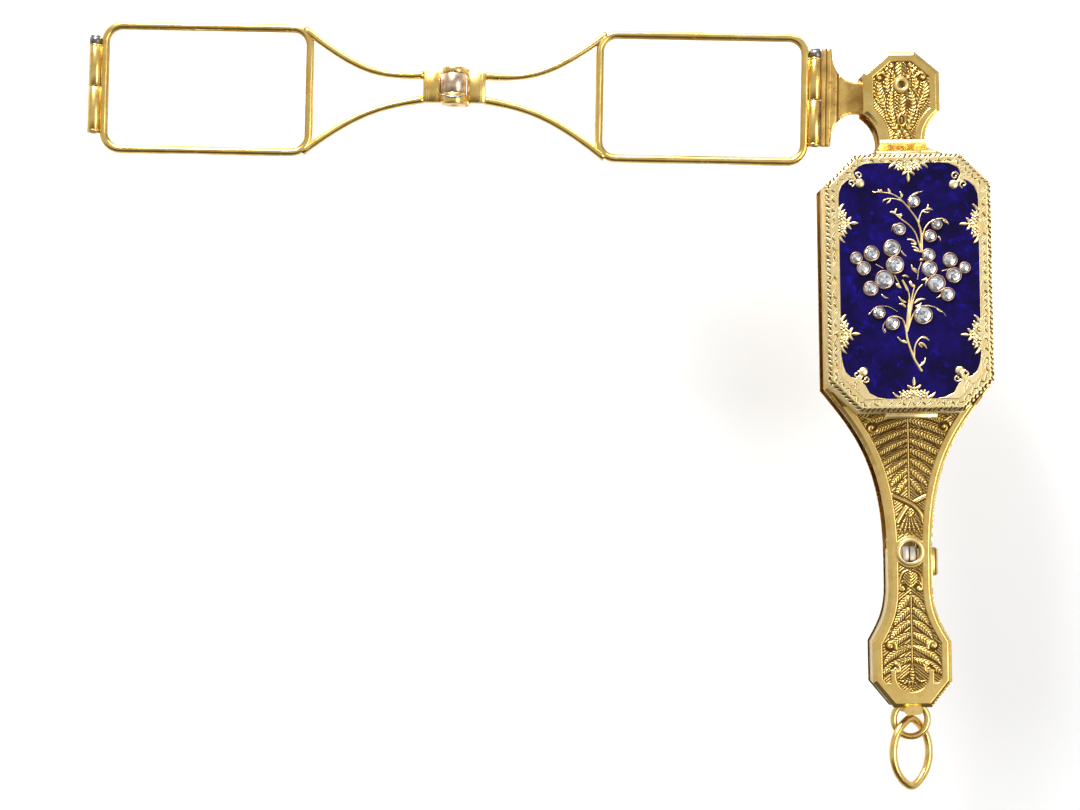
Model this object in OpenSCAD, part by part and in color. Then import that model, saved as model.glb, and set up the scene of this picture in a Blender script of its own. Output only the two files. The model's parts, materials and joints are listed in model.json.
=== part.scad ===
// Folding lorgnette with a watch under an enamelled lid. Millimetres.
// +Z runs up the handle, +X to the right, +Y to the back.
// The origin is in the waist of the handle, where the fingers hold it.

/* [Handle head] */
// Width of the head, side to side
head_w = 10.6; // [9.8:0.1:11.4]
// Pivot centre up to the flat top of the head
head_rise = 4.6; // [4.4:0.1:5.2]
// Width of the flat on top of the head
head_flat_w = 3.8; // [3:0.1:4.6]
// Height of the slanted corners of the head
head_corner = 2.9; // [2.3:0.1:3.5]
// Length of the straight sides of the head
head_side = 5.6; // [5:0.1:6.2]
// Width of the neck under the head
head_neck_w = 6.3; // [5.9:0.1:6.9]
// Pivot centre down to the top edge of the case
shoulder_drop = 10.15; // [10:0.05:11]
// Outer diameter of the hollow pivot rivet
rivet_d = 1.8; // [1.6:0.1:2]
// Diameter of the hole through the pivot rivet
rivet_hole_d = 1; // [0.7:0.1:1.2]

/* [Case] */
// Width of the case
case_w = 23; // [22.6:0.1:24.5]
// Length of the case, top edge to bottom edge
case_len = 35.75; // [34.5:0.25:37]
// Size of the cut corners of the case
case_corner = 4.3; // [3.6:0.1:4.6]
// Thickness of the front and back shells
shell_t = 0.7; // [0.6:0.05:0.9]
// Gap between the shells, where the spectacles fold away
slot_gap = 4.3; // [4.2:0.05:4.8]
// Thickness of the wall that closes the right side of the gap
side_wall_t = 0.35; // [0.25:0.05:0.4]
// Width of the bevel round the shells
bevel_w = 0.55; // [0.4:0.05:0.7]
// Height of the bevel round the shells
bevel_h = 0.3; // [0.2:0.05:0.35]
// Step from the shell's edge in to the watch box
box_step = 0.2; // [0.1:0.05:0.3]
// Thickness of the watch box's wall
box_wall = 0.5; // [0.4:0.05:0.6]
// Width of the ledge that carries the watch plate
ledge_w = 0.4; // [0.3:0.05:0.5]

/* [Lid] */
// Height of the lid's skirt over the watch box
lid_skirt = 0.85; // [0.75:0.05:1.1]
// Thickness of the lid's plate
lid_plate_t = 0.55; // [0.5:0.05:0.7]
// Width of the gold border at the sides of the enamel
lid_border = 1.75; // [1.6:0.05:2]
// Width of the gold border above the enamel
lid_border_top = 1.2; // [1.1:0.05:1.8]
// Size of the cut corners of the enamel
enamel_corner = 3.3; // [3:0.1:3.6]
// Thickness of the enamel panel
enamel_t = 0.3; // [0.2:0.05:0.35]
// Outer radius of the lid's hinge knuckles
lid_knuckle_r = 0.45; // [0.4:0.01:0.5]
// Radius of the lid's hinge pin
lid_pin_r = 0.2; // [0.15:0.01:0.25]
// Length of the middle knuckle of the lid's hinge
lid_knuckle_len = 4; // [3:0.2:5]
// Length of each outer knuckle of the lid's hinge
lid_end_knuckle = 2.1; // [1.5:0.1:2.5]
// Width of the thumb-piece under the lid's lower edge
thumb_w = 7.1; // [6:0.1:8]
// How far the thumb-piece stands out below the lid
thumb_drop = 0.7; // [0.5:0.05:0.9]
// Height of the stone settings above the enamel
collet_h = 0.3; // [0.2:0.05:0.4]
// Wall of a stone setting
collet_wall = 0.15; // [0.1:0.01:0.2]
// Height of a rose-cut stone above its setting
stone_crown = 0.3; // [0.2:0.05:0.4]

/* [Watch] */
// Thickness of the sealed movement
movement_t = 2.2; // [2:0.05:2.4]
// Thickness of the gilt plate round the dial
plate_t = 0.3; // [0.2:0.05:0.35]
// Radius of the dial
dial_r = 7; // [6.4:0.1:7.4]
// Case's top edge down to the dial's centre
dial_drop = 13.5; // [12.5:0.5:15]
// Dial's centre down to the winding square
winder_drop = 12; // [11:0.5:13]
// Width of the winding square across its flats
winder_w = 0.8; // [0.6:0.05:1]

/* [Neck and foot] */
// Width of the handle at its waist
waist_w = 6.1; // [6:0.05:7]
// Closed end of the gap down to the middle of the waist
grip_drop = 5.7; // [5:0.1:6.5]
// Width of the foot
foot_w = 10.9; // [9.6:0.1:12]
// Middle of the waist down to the widest part of the foot
foot_drop = 7.2; // [6.6:0.1:8]
// Length of the straight sides of the foot
foot_side = 5.6; // [5:0.1:6.4]
// Height of the slanted corners of the foot
foot_corner = 3.5; // [3:0.1:4]
// Width of the flat under the foot
foot_flat_w = 5.2; // [4.6:0.1:6]

/* [Catch] */
// How far the catch slides
catch_travel = 1.2; // [1:0.05:1.4]
// How far the bolt's tip reaches into the barrel's groove
catch_bite = 0.45; // [0.3:0.05:0.5]
// Width of the slide button, front to back
button_w = 2.4; // [1.8:0.1:2.8]
// Length of the slide button
button_len = 3.9; // [3.2:0.1:4.2]
// How far the slide button stands out of the side
button_out = 0.8; // [0.6:0.05:1]
// Radius of the round window over the bolt
window_r = 1.25; // [1.05:0.05:1.4]
// Outer radius of the boss round the window
boss_r = 1.95; // [1.75:0.05:2.2]
// Height of the boss round the window
boss_h = 0.35; // [0.2:0.05:0.5]

/* [Spectacles] */
// Drop of the lens centreline below the pivot, spectacles open
lens_drop = 1.8; // [1.6:0.05:1.85]
// Height of the arm's and the tubes' centreline above the lens centreline
arm_rise = 0.35; // [0:0.05:0.6]
// Height of the bridge hinge's middle above the lens centreline
barrel_rise = 0.8; // [0.6:0.05:0.9]
// Upward lean of the open spectacles, in degrees
open_lift = 1.9; // [0:0.1:3]
// Pivot centre out to the near rim
rim_reach = 12.8; // [12.6:0.1:13.4]
// Width of a rim
rim_w = 29.3; // [27:0.1:29.6]
// Height of a rim
rim_h = 18.7; // [17:0.1:18.8]
// Thickness of the rim wire, seen from the front
rim_wire = 0.9; // [0.8:0.05:1.1]
// Depth of the rim wire, front to back
rim_depth = 1.3; // [1.1:0.05:1.4]
// Outer corner radius of a rim
rim_corner = 3; // [2.4:0.1:4]
// Depth of the groove that holds the lens
groove_d = 0.3; // [0.2:0.05:0.4]
// Thickness of a lens
lens_t = 0.8; // [0.6:0.05:0.9]
// Lens plane behind the bridge hinge's axis, spectacles open
lens_back = 1; // [0.98:0.01:1.05]
// Radius of the rim's closing tube
tube_r = 0.9; // [0.8:0.01:0.92]
// Radius of the closing screw in the tube
screw_r = 0.45; // [0.35:0.05:0.5]
// Length of the closing tube with its screw head
tube_len = 13.8; // [12:0.1:14.4]
// Height of the closing screw's head
screw_head = 1.25; // [0.8:0.05:1.5]
// Rim out to the bridge hinge's axis
bridge_reach = 20.2; // [19.5:0.1:21]

/* [Bridge] */
// Outer radius of the hinge barrel
barrel_r = 1.75; // [1.6:0.01:1.8]
// Radius of the hinge pin
pin_r = 0.5; // [0.4:0.05:0.6]
// Length of the top knuckle
top_knuckle = 0.85; // [0.7:0.05:1]
// Length of the middle knuckle
mid_knuckle = 2.8; // [2.4:0.05:2.9]
// Length of the bottom knuckle
low_knuckle = 1.6; // [1.5:0.05:1.7]
// Height of the yoke's block beside the barrel
yoke_block_h = 4.3; // [3.8:0.1:4.5]
// Width of the yoke's block
yoke_block_w = 2.5; // [2:0.1:3]
// Width of the yoke wires
yoke_wire = 0.85; // [0.7:0.05:1]

/* [Rings] */
// Radius of the cross pin that carries the jump ring
ring_pin_r = 0.35; // [0.3:0.01:0.4]
// Width of the pin's head
cheek_w = 2.5; // [2:0.1:3]
// Height of the pin's head
cheek_h = 1.3; // [1.1:0.05:1.5]
// Radius of the jump ring's wire
jump_wire_r = 0.47; // [0.4:0.01:0.5]
// Radius of the jump ring to the middle of its wire
jump_r = 2.35; // [2.2:0.05:2.5]
// Radius of the chain ring's wire
chain_wire_r = 0.55; // [0.45:0.05:0.6]
// Inner width of the chain ring
chain_in_w = 5.4; // [5:0.1:5.8]
// Inner length of the chain ring
chain_in_len = 8.2; // [8:0.1:9.5]
// Radius of the chain ring's ends, to the middle of the wire
chain_end_r = 1.3; // [1.1:0.05:1.6]

/* [Hidden] */
$fn = 48;

// Clearances: rubbing fit, free part and fixed seat
run_gap = 0.03;
free_gap = 0.1;
seat_gap = 0.02;
// Room between the folded barrel and the gap's closed end
end_gap = 0.25;
// Height of the watch box above its plate, for the hands and crystal
dial_room = 0.65;

gold = "goldenrod";
pale_gold = "khaki";
steel = "slategray";
blue = "midnightblue";
white = "whitesmoke";
clear_glass = "lightcyan";

// Heights and depths worked out from the sizes above
hinge_u = rim_reach + rim_w + bridge_reach;
slot_end = -(hinge_u + barrel_r + end_gap);
pivot_z = grip_drop - slot_end;
case_top = -shoulder_drop;
case_bottom = case_top - case_len;
waist_z = slot_end - grip_drop;
foot_top = waist_z - foot_drop;
foot_low = foot_top - foot_side;
foot_end = foot_low - foot_corner;
slot_y = slot_gap / 2;
shell_y = slot_y + shell_t;
ledge_y = shell_y + movement_t;
box_y = ledge_y + plate_t + dial_room;
lid_in_y = box_y + lid_skirt;
lid_y = lid_in_y + lid_plate_t;

// Points of a cubic curve through p0 and p3
function curve(p0, p1, p2, p3, n = 12) = [
    for (i = [0:n]) let (t = i / n, s = 1 - t)
        s * s * s * p0 + 3 * s * s * t * p1 + 3 * s * t * t * p2 + t * t * t * p3
];
// A closed outline from its right half, listed from top to bottom
function mirrored(half) = concat(
    [for (p = half) [-p[0], p[1]]],
    [for (i = [len(half) - 1:-1:0]) half[i]]
);
function unit(v) = v / norm(v);
function normal(v) = [-v[1], v[0]];
// The same outline, moved inwards by d
function inset(pts, d) = [
    for (i = [0:len(pts) - 1]) let (
        n = len(pts),
        n1 = normal(unit(pts[i] - pts[(i + n - 1) % n])),
        n2 = normal(unit(pts[(i + 1) % n] - pts[i])),
        m = unit(n1 + n2)
    ) pts[i] + m * d / (m * n1)
];
// An outline with four cut corners
function cut_box(half_w, top, bottom, corner) = mirrored([
    [half_w - corner, top], [half_w, top - corner],
    [half_w, bottom + corner], [half_w - corner, bottom]
]);
// An outline with four round corners
function round_box(x0, x1, z0, z1, r, n = 8) = concat(
    [for (i = [0:n]) [x1 - r + r * cos(90 * i / n), z1 - r + r * sin(90 * i / n)]],
    [for (i = [0:n]) [x0 + r - r * sin(90 * i / n), z1 - r + r * cos(90 * i / n)]],
    [for (i = [0:n]) [x0 + r - r * cos(90 * i / n), z0 + r - r * sin(90 * i / n)]],
    [for (i = [0:n]) [x1 - r + r * sin(90 * i / n), z0 + r - r * cos(90 * i / n)]]
);
// A strip of width w along a path
function band(path, w) = let (
    n = len(path) - 1,
    dir = [for (i = [0:n]) unit(path[min(i + 1, n)] - path[max(i - 1, 0)])]
) concat(
    [for (i = [0:n]) path[i] + normal(dir[i]) * w / 2],
    [for (i = [n:-1:0]) path[i] - normal(dir[i]) * w / 2]
);

// Right half of the handle's outline, heights measured from the pivot
head_half = concat(
    [
        [head_flat_w / 2, head_rise],
        [head_w / 2, head_rise - head_corner]
    ],
    curve(
        [head_w / 2, head_rise - head_corner - head_side],
        [head_w / 2 - 1.4, head_rise - head_corner - head_side - 1],
        [head_neck_w / 2, head_rise - head_corner - head_side - 2.3],
        [head_neck_w / 2, case_top + 2.2]
    ),
    [for (i = [1:8]) let (p = curve(
        [head_neck_w / 2, case_top + 2.2], [head_neck_w / 2, case_top + 1.1],
        [head_neck_w / 2 + 0.8, case_top + 0.25], [head_neck_w / 2 + 2.2, case_top], 8
    )) p[i]]
);
neck_half = curve(
    [case_w / 2, case_bottom + 3.6], [waist_w / 2 + 3.5, case_bottom - 2.6],
    [waist_w / 2, case_bottom - 7.1], [waist_w / 2, slot_end - 1.7], 16
);
foot_half = concat(
    curve(
        [waist_w / 2, waist_z + 0.5], [waist_w / 2, waist_z - 3.5],
        [foot_w / 2 - 1.1, foot_top + 2], [foot_w / 2, foot_top], 10
    ),
    [[foot_w / 2, foot_low], [foot_flat_w / 2, foot_end]]
);
case_shoulder = [
    [case_w / 2 - case_corner, case_top], [case_w / 2, case_top - case_corner]
];
handle_half = concat(head_half, case_shoulder, neck_half, foot_half);
handle_outline = mirrored(handle_half);
case_outline = cut_box(case_w / 2, case_top, case_bottom, case_corner);

module at_pivot() { translate([0, 0, pivot_z]) children(); }
// Spectacles frame: -X runs from the pivot to the far lens
module open_frame() { at_pivot() rotate([0, open_lift, 0]) children(); }
module far_side() { translate([-2 * hinge_u, 0, 0]) mirror([1, 0, 0]) children(); }
// A flat outline in X and Z made solid from depth y0 to y1
module slab(y0, y1) {
    translate([0, y1, 0]) rotate([90, 0, 0]) linear_extrude(y1 - y0) children();
}
module rod_y(r, y0, y1) { translate([0, y1, 0]) rotate([90, 0, 0]) cylinder(r = r, h = y1 - y0); }
module rod_x(r, x0, x1) { translate([x0, 0, 0]) rotate([0, 90, 0]) cylinder(r = r, h = x1 - x0); }
module rod_z(r, z0, z1) { translate([0, 0, z0]) cylinder(r = r, h = z1 - z0); }
module block(low, high) { translate(low) cube(high - low); }

// Handle: the two shells, the wall and the solid tail

module back_shell() color(gold) at_pivot() difference() {
    union() {
        slab(slot_y, shell_y - bevel_h) polygon(handle_outline);
        slab(shell_y - bevel_h, shell_y) polygon(inset(handle_outline, bevel_w));
    }
    rod_y(rivet_d / 2 + seat_gap, slot_y - 1, shell_y + 1);
    cheeks(seat_gap, 1);
}

window_z = slot_end - 0.6;
module front_shell() color(gold) at_pivot() difference() {
    union() {
        slab(-shell_y + bevel_h, -slot_y) polygon(handle_outline);
        slab(-shell_y, -shell_y + bevel_h) polygon(inset(handle_outline, bevel_w));
    }
    rod_y(rivet_d / 2 + seat_gap, -shell_y - 1, -slot_y + 1);
    translate([0, 0, window_z]) rod_y(window_r, -shell_y - 1, -slot_y + 1);
    cheeks(seat_gap, 1);
}

// The wall follows the right edge from the case's corner to the gap's closed end
wall_edge = concat([[case_w / 2, case_top - case_corner]], neck_half, [[waist_w / 2, slot_end]]);
wall_in = [for (p = wall_edge) if (p[1] > slot_end + 0.001) p];
module side_wall() color(gold) at_pivot() slab(-slot_y, slot_y) polygon(concat(
    [for (i = [len(wall_in) - 1:-1:0]) wall_in[i]],
    [for (p = wall_in) [p[0] - side_wall_t, p[1]]]
));

// Polished shoulder that slopes from the head out to the watch box
shoulder_profile = concat(
    [[-shell_y, case_top]],
    curve([-shell_y, case_top + 2.4], [-shell_y - 0.5, case_top + 1.3],
        [-box_y + 1.2, case_top + 0.7], [-box_y, case_top + 0.5], 8),
    [[-box_y, case_top]]
);
module shoulder() color(gold) at_pivot() difference() {
    intersection() {
        translate([-head_w / 2, 0, 0]) rotate([90, 0, 90]) linear_extrude(head_w)
            polygon(shoulder_profile);
        slab(-box_y - 1, -shell_y) polygon(inset(handle_outline, 0.05));
    }
    translate([0, -box_y, case_top]) rod_x(lid_knuckle_r + free_gap,
        -lid_knuckle_len / 2 - lid_end_knuckle - free_gap,
        lid_knuckle_len / 2 + lid_end_knuckle + free_gap);
}

// Bolt of the catch: a block in the tail's pocket, with a stem to the button
bolt_h = 2.9;
bolt_w = 2.4;
bolt_left = -1.2;
bolt_right = 2.2;
bolt_top = slot_end - 0.65;
stem_h = 1.3;
stem_top = bolt_top - 0.3;
stem_w = 1;
window_block_w = 1.9;
window_block_h = 2;
window_block_top = window_z + 0.75;
spring_room = 3.4;
jump_room = 1.4;
jump_swing = 25;
pocket_end = bolt_top - bolt_h - spring_room;
tail_half = [for (p = concat([[waist_w / 2, slot_end]], neck_half, foot_half))
    if (p[1] <= slot_end) p];
module tail_block() color(gold) at_pivot() difference() {
    slab(-slot_y, slot_y) polygon(inset(mirrored(tail_half), 0.15));
    block([bolt_left - free_gap, -bolt_w / 2 - free_gap, pocket_end],
        [bolt_right + free_gap, bolt_w / 2 + free_gap, slot_end + 1]);
    block([-window_block_w / 2 - free_gap, -slot_y - 1,
            window_block_top - window_block_h - catch_travel - free_gap],
        [window_block_w / 2 + free_gap, -bolt_w / 2, slot_end + 1]);
    block([0, -stem_w / 2 - free_gap, stem_top - stem_h - catch_travel - free_gap],
        [waist_w, stem_w / 2 + free_gap, slot_end + 1]);
    // Room for the top of the jump ring as it swings left and right on its pin
    for (swing = [-jump_swing, 0, jump_swing]) translate([0, 0, ring_pin_z]) rotate([0, swing, 0])
        translate([0, 0, jump_mid - ring_pin_z])
            rod_y(jump_r + jump_wire_r + 0.25, -jump_room, jump_room);
}

// Head: rivet, stop pin and the spring that kicks the spectacles open
eye_r = 3.4;
hub_r = 1.5;
stop_r = 0.4;
stop_reach = 3.95;
stop_angle = 30;
module pivot_rivet() color(gold) at_pivot() difference() {
    union() {
        rod_y(rivet_d / 2, -shell_y - 0.1, shell_y);
        rod_y(rivet_d / 2 + 0.15, -shell_y - 0.15, -shell_y);
    }
    rod_y(rivet_hole_d / 2, -shell_y - 1, shell_y + 1);
}

module stop_pin() color(gold) at_pivot() rotate([0, -stop_angle, 0])
    translate([stop_reach, 0, 0]) rod_y(stop_r, -slot_y, slot_y);

spring_turns = 3;
spring_in = hub_r + 0.25;
spring_out = stop_reach - stop_r - 0.08;
spiral = [for (i = [0:spring_turns * 18]) let (t = i / (spring_turns * 18),
    r = spring_in + (spring_out - spring_in) * t, a = stop_angle + 360 * spring_turns * t)
    [r * cos(a), r * sin(a)]];
module kick_spring() color(steel) at_pivot()
    slab(-slot_y + 0.2, -slot_y + 1.2) polygon(band(spiral, 0.16));

cam_y = lens_back - rim_depth / 2 - 0.05;
module pivot_hub() color(steel) at_pivot() difference() {
    union() {
        rod_y(hub_r, -slot_y + free_gap, slot_y - free_gap);
        rod_y(eye_r - 0.2, cam_y - 0.9, cam_y);
        // The tooth that meets the stop pin when the spectacles are open
        intersection() {
            rod_y(head_rise - 0.2, cam_y - 0.9, cam_y);
            rotate([0, -stop_angle - 10, 0]) block([0, -slot_y, -1.6], [head_rise, slot_y, 3.2]);
            rotate([0, -stop_angle - 30, 0]) block([0, -slot_y, -1.2], [head_rise, slot_y, 1.2]);
        }
    }
    rod_y(rivet_d / 2 + run_gap, -slot_y - 1, slot_y + 1);
    rotate([0, -stop_angle, 0]) translate([stop_reach, 0, 0])
        rod_y(stop_r + seat_gap, -slot_y - 1, slot_y + 1);
}

// Window boss over the bolt
module window_boss() color(gold) at_pivot() translate([0, 0, window_z]) difference() {
    rod_y(boss_r, -shell_y - boss_h, -shell_y);
    rod_y(window_r, -shell_y - boss_h - 1, -shell_y + 1);
}

// Watch box, its hinge and the watch

box_outline = inset(case_outline, box_step);
hinge_half = lid_knuckle_len / 2;
module lid_axis() { translate([0, -box_y, case_top]) children(); }
module box_knuckles(r) {
    for (side = [-1, 1]) rod_x(r,
        side < 0 ? -hinge_half - lid_end_knuckle : hinge_half,
        side < 0 ? -hinge_half : hinge_half + lid_end_knuckle);
}
module watch_box() color(pale_gold) at_pivot() difference() {
    union() {
        difference() {
            slab(-box_y, -shell_y) polygon(box_outline);
            slab(-ledge_y, -shell_y + 1) polygon(inset(box_outline, box_wall + ledge_w));
            slab(-box_y - 1, -ledge_y) polygon(inset(box_outline, box_wall));
            lid_axis() rod_x(lid_knuckle_r + 0.06, -hinge_half - 0.05, hinge_half + 0.05);
        }
        lid_axis() box_knuckles(lid_knuckle_r);
        // Small webs tie the end knuckles to the top wall
        for (side = [-1, 1]) scale([side, 1, 1]) block(
            [hinge_half + 0.05, -box_y, case_top - box_step - 0.1],
            [hinge_half + lid_end_knuckle, -box_y + lid_knuckle_r, case_top]);
    }
    lid_axis() rod_x(lid_pin_r + seat_gap, -hinge_half - lid_end_knuckle - 1,
        hinge_half + lid_end_knuckle + 1);
}

module lid_hinge_pin() color(gold) at_pivot() lid_axis()
    rod_x(lid_pin_r, -hinge_half - lid_end_knuckle, hinge_half + lid_end_knuckle);

dial_z = case_top - dial_drop;
winder_z = dial_z - winder_drop;
module at_dial() { at_pivot() translate([0, 0, dial_z]) children(); }
module watch_plate() color(gold) at_pivot() difference() {
    slab(-ledge_y - plate_t, -ledge_y) polygon(inset(box_outline, box_wall + 0.05));
    translate([0, 0, dial_z]) rod_y(dial_r + 0.1, -lid_y, 0);
    translate([0, 0, winder_z]) rod_y(winder_w * 0.9, -lid_y, 0);
}

module movement() color("peru") at_pivot() difference() {
    union() {
        slab(-ledge_y, -shell_y) polygon(inset(box_outline, box_wall + ledge_w + 0.4));
        translate([0, 0, dial_z]) rod_y(0.12, -ledge_y - 0.7, -ledge_y);
    }
    translate([0, 0, winder_z]) rod_y(winder_w * 0.7 + run_gap, -ledge_y - 1, -shell_y - 0.5);
}

dial_t = 0.3;
module dial() color(white) at_dial() difference() {
    rod_y(dial_r, -ledge_y - dial_t, -ledge_y);
    rod_y(0.2, -lid_y, 0);
}

bezel_in = dial_r - 0.5;
bezel_out = dial_r + 0.8;
bezel_y = ledge_y + plate_t + 0.7;
module dial_bezel() color(pale_gold) at_dial() difference() {
    rod_y(bezel_out, -bezel_y, -ledge_y - plate_t);
    rod_y(bezel_in, -lid_y, 0);
    rod_y(dial_r, -bezel_y - 1, -bezel_y + 0.25);
}

module dial_crystal() color(clear_glass) at_dial()
    rod_y(dial_r - seat_gap, -bezel_y - 0.1, -bezel_y + 0.25);

// A watch hand that points up: hub, slim blade and a round eye near its tip
module hand(len, y0, eye) {
    difference() {
        union() {
            rod_y(0.42, y0, y0 + 0.12);
            slab(y0, y0 + 0.12) polygon([[-0.16, 0], [0.16, 0], [0.06, len], [-0.06, len]]);
            translate([0, 0, len * 0.7]) rod_y(eye, y0, y0 + 0.12);
        }
        rod_y(0.12 + run_gap, y0 - 1, y0 + 1);
        translate([0, 0, len * 0.7]) rod_y(eye * 0.6, y0 - 1, y0 + 1);
    }
}
hands_y = -ledge_y - dial_t;
hour_angle = 305;
minute_angle = 55;
module minute_hand() color(steel) at_dial() rotate([0, minute_angle, 0])
    hand(dial_r * 0.82, hands_y - 0.36, 0.3);
module hour_hand() color(steel) at_dial() rotate([0, hour_angle, 0])
    hand(dial_r * 0.55, hands_y - 0.18, 0.42);

module winding_square() color(steel) at_pivot() translate([0, 0, winder_z]) {
    rod_y(winder_w * 0.7, -ledge_y, -shell_y - 0.5);
    block([-winder_w / 2, -ledge_y - plate_t - 0.5, -winder_w / 2],
        [winder_w / 2, -ledge_y, winder_w / 2]);
}

// Lid with its enamel, stones and thumb-piece

enamel_outline = cut_box(case_w / 2 - box_step - lid_border, case_top - box_step - lid_border_top,
    case_bottom + box_step + lid_border, enamel_corner);
module lid_frame() color(pale_gold) at_pivot() difference() {
    union() {
        difference() {
            slab(-lid_in_y, -box_y) polygon(box_outline);
            slab(-lid_in_y - 1, -box_y + 1) polygon(inset(box_outline, box_wall));
        }
        slab(-lid_y + bevel_h, -lid_in_y) polygon(box_outline);
        slab(-lid_y, -lid_y + bevel_h) polygon(inset(box_outline, bevel_w));
        lid_axis() rod_x(lid_knuckle_r, -hinge_half + run_gap, hinge_half - run_gap);
        block([-hinge_half + run_gap, -box_y - lid_knuckle_r, case_top - box_step - 0.1],
            [hinge_half - run_gap, -box_y, case_top]);
    }
    slab(-lid_y - 1, -lid_y + enamel_t) polygon(enamel_outline);
    lid_axis() box_knuckles(lid_knuckle_r + 0.06);
    lid_axis() rod_x(lid_pin_r + run_gap, -hinge_half - 1, hinge_half + 1);
}

module enamel_panel() color(blue) at_pivot()
    slab(-lid_y, -lid_y + enamel_t) polygon(inset(enamel_outline, seat_gap));

// Flower stones: place from the lid's centre and radius of the setting
stones = [
    [0.7, 11.1, 0.8], [3.8, 7.9, 0.7], [2.9, 6.3, 0.8], [-1.3, 7.3, 0.8],
    [-2.4, 4.7, 1.1], [-2, 2.4, 1.15], [-5.2, 4, 1], [-7.3, 3.4, 0.8],
    [-6.3, 2, 0.9], [-3.5, 0.4, 1.2], [-5.4, -0.8, 0.95], [2.6, 3.7, 0.85],
    [2.7, 1.8, 1], [3.6, -0.2, 1.15], [5.1, -1.7, 0.9], [5.5, 3, 0.95],
    [7.5, 1.9, 0.75], [6, 0.9, 1], [-4.3, -4.1, 0.8], [-2.5, -5.6, 0.9],
    [1.7, -4.5, 1.2]
];
lid_mid = (case_top + case_bottom) / 2;
module each_stone() {
    at_pivot() for (s = stones) translate([s[0], -lid_y, lid_mid + s[1]]) {
        $stone_r = s[2];
        children();
    }
}
module stone_settings() color("rosybrown") each_stone() difference() {
    rod_y($stone_r, -collet_h, 0);
    rod_y($stone_r - collet_wall, -collet_h - 1, 1);
}
module rose_stones() color(white) each_stone() {
    r = $stone_r - collet_wall - seat_gap;
    rod_y(r, -collet_h, 0);
    translate([0, -collet_h, 0]) rotate([90, 0, 0])
        cylinder(r1 = r, r2 = r * 0.35, h = stone_crown);
}

module lid_thumb_piece() color(pale_gold) at_pivot()
    block([-thumb_w / 2, -lid_in_y + 0.05, case_bottom - thumb_drop],
        [thumb_w / 2, -box_y - 0.05, case_bottom + box_step]);

// Spectacles, drawn in their own frame: X is minus the distance from the pivot

rim_x0 = -(rim_reach + rim_w);
rim_x1 = -rim_reach;
rim_outline = round_box(rim_x0, rim_x1, -lens_drop - rim_h / 2, -lens_drop + rim_h / 2, rim_corner);
rim_y0 = lens_back - rim_depth / 2;
rim_y1 = lens_back + rim_depth / 2;
tube_x = rim_x1 + tube_r + 0.3;
arm_z = -lens_drop + arm_rise;
tube_z0 = arm_z - tube_len / 2;
tube_z1 = arm_z + tube_len / 2 - screw_head;
split_w = 0.12;
module tube_axis() { translate([tube_x, lens_back, 0]) children(); }

module rim() difference() {
    union() {
        slab(rim_y0, rim_y1) difference() {
            polygon(rim_outline);
            polygon(inset(rim_outline, rim_wire));
        }
        tube_axis() rod_z(tube_r, tube_z0, tube_z1);
        // Solder strip between the rim and its closing tube
        block([rim_x1 - 0.1, lens_back - 0.25, tube_z0], [tube_x, lens_back + 0.25, tube_z1]);
    }
    slab(lens_back - lens_t / 2 - seat_gap, lens_back + lens_t / 2 + seat_gap)
        polygon(inset(rim_outline, rim_wire - groove_d));
    tube_axis() rod_z(screw_r + seat_gap, tube_z0 - 1, tube_z1 + 1);
    block([rim_x1 - rim_wire - 1, rim_y0 - 1, -lens_drop - split_w / 2],
        [tube_x + tube_r + 1, rim_y1 + 1, -lens_drop + split_w / 2]);
}
module lens() slab(lens_back - lens_t / 2, lens_back + lens_t / 2)
    polygon(inset(rim_outline, rim_wire - groove_d + seat_gap));
module closing_screw() tube_axis() union() {
    rod_z(screw_r, tube_z0, tube_z1);
    difference() {
        rod_z(tube_r, tube_z1, tube_z1 + screw_head);
        block([-tube_r - 1, -0.12, tube_z1 + screw_head - 0.3],
            [tube_r + 1, 0.12, tube_z1 + screw_head + 1]);
    }
}

// Yoke: two curved wires from the rim's corners to the block beside the barrel
block_x1 = -(hinge_u - barrel_r - 0.14);
block_x0 = block_x1 + yoke_block_w;
barrel_mid = -lens_drop + barrel_rise;
barrel_z1 = barrel_mid + (top_knuckle + mid_knuckle + low_knuckle) / 2;
top_z = barrel_z1 - top_knuckle;
low_z = top_z - mid_knuckle;
barrel_z0 = low_z - low_knuckle;
wire_h = yoke_block_h / 2 - yoke_wire / 2;
yoke_y0 = lens_back - 0.65;
yoke_y1 = lens_back + 0.55;
module barrel_axis() { translate([-hinge_u, 0, 0]) children(); }
// The knuckles that one yoke carries lie between z0 and z1
module knuckle(z0, z1) {
    barrel_axis() rod_z(barrel_r, z0, z1);
    block([-hinge_u + barrel_r * 0.55, yoke_y0, z0], [block_x0, yoke_y1, z1]);
}
module yoke_wires() slab(yoke_y0, yoke_y1) for (side = [-1, 1]) polygon(band([
    for (p = curve(
        [block_x0 - 0.1, barrel_mid + side * wire_h],
        [block_x0 + 6.5, -lens_drop + side * (wire_h + 0.35)],
        [block_x0 + 9.4, -lens_drop + side * (wire_h + 1.3)],
        [rim_x0 + 1.2, -lens_drop + side * (rim_h / 2 - 1.1)], 14
    )) p
], yoke_wire));
module yoke(spans) difference() {
    union() {
        yoke_wires();
        block([block_x1, yoke_y0, barrel_mid - yoke_block_h / 2],
            [block_x0, yoke_y1, barrel_mid + yoke_block_h / 2]);
        for (s = spans) knuckle(s[0], s[1]);
    }
    slab(yoke_y0 - 1, yoke_y1 + 1) polygon(rim_outline);
    children();
}

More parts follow.
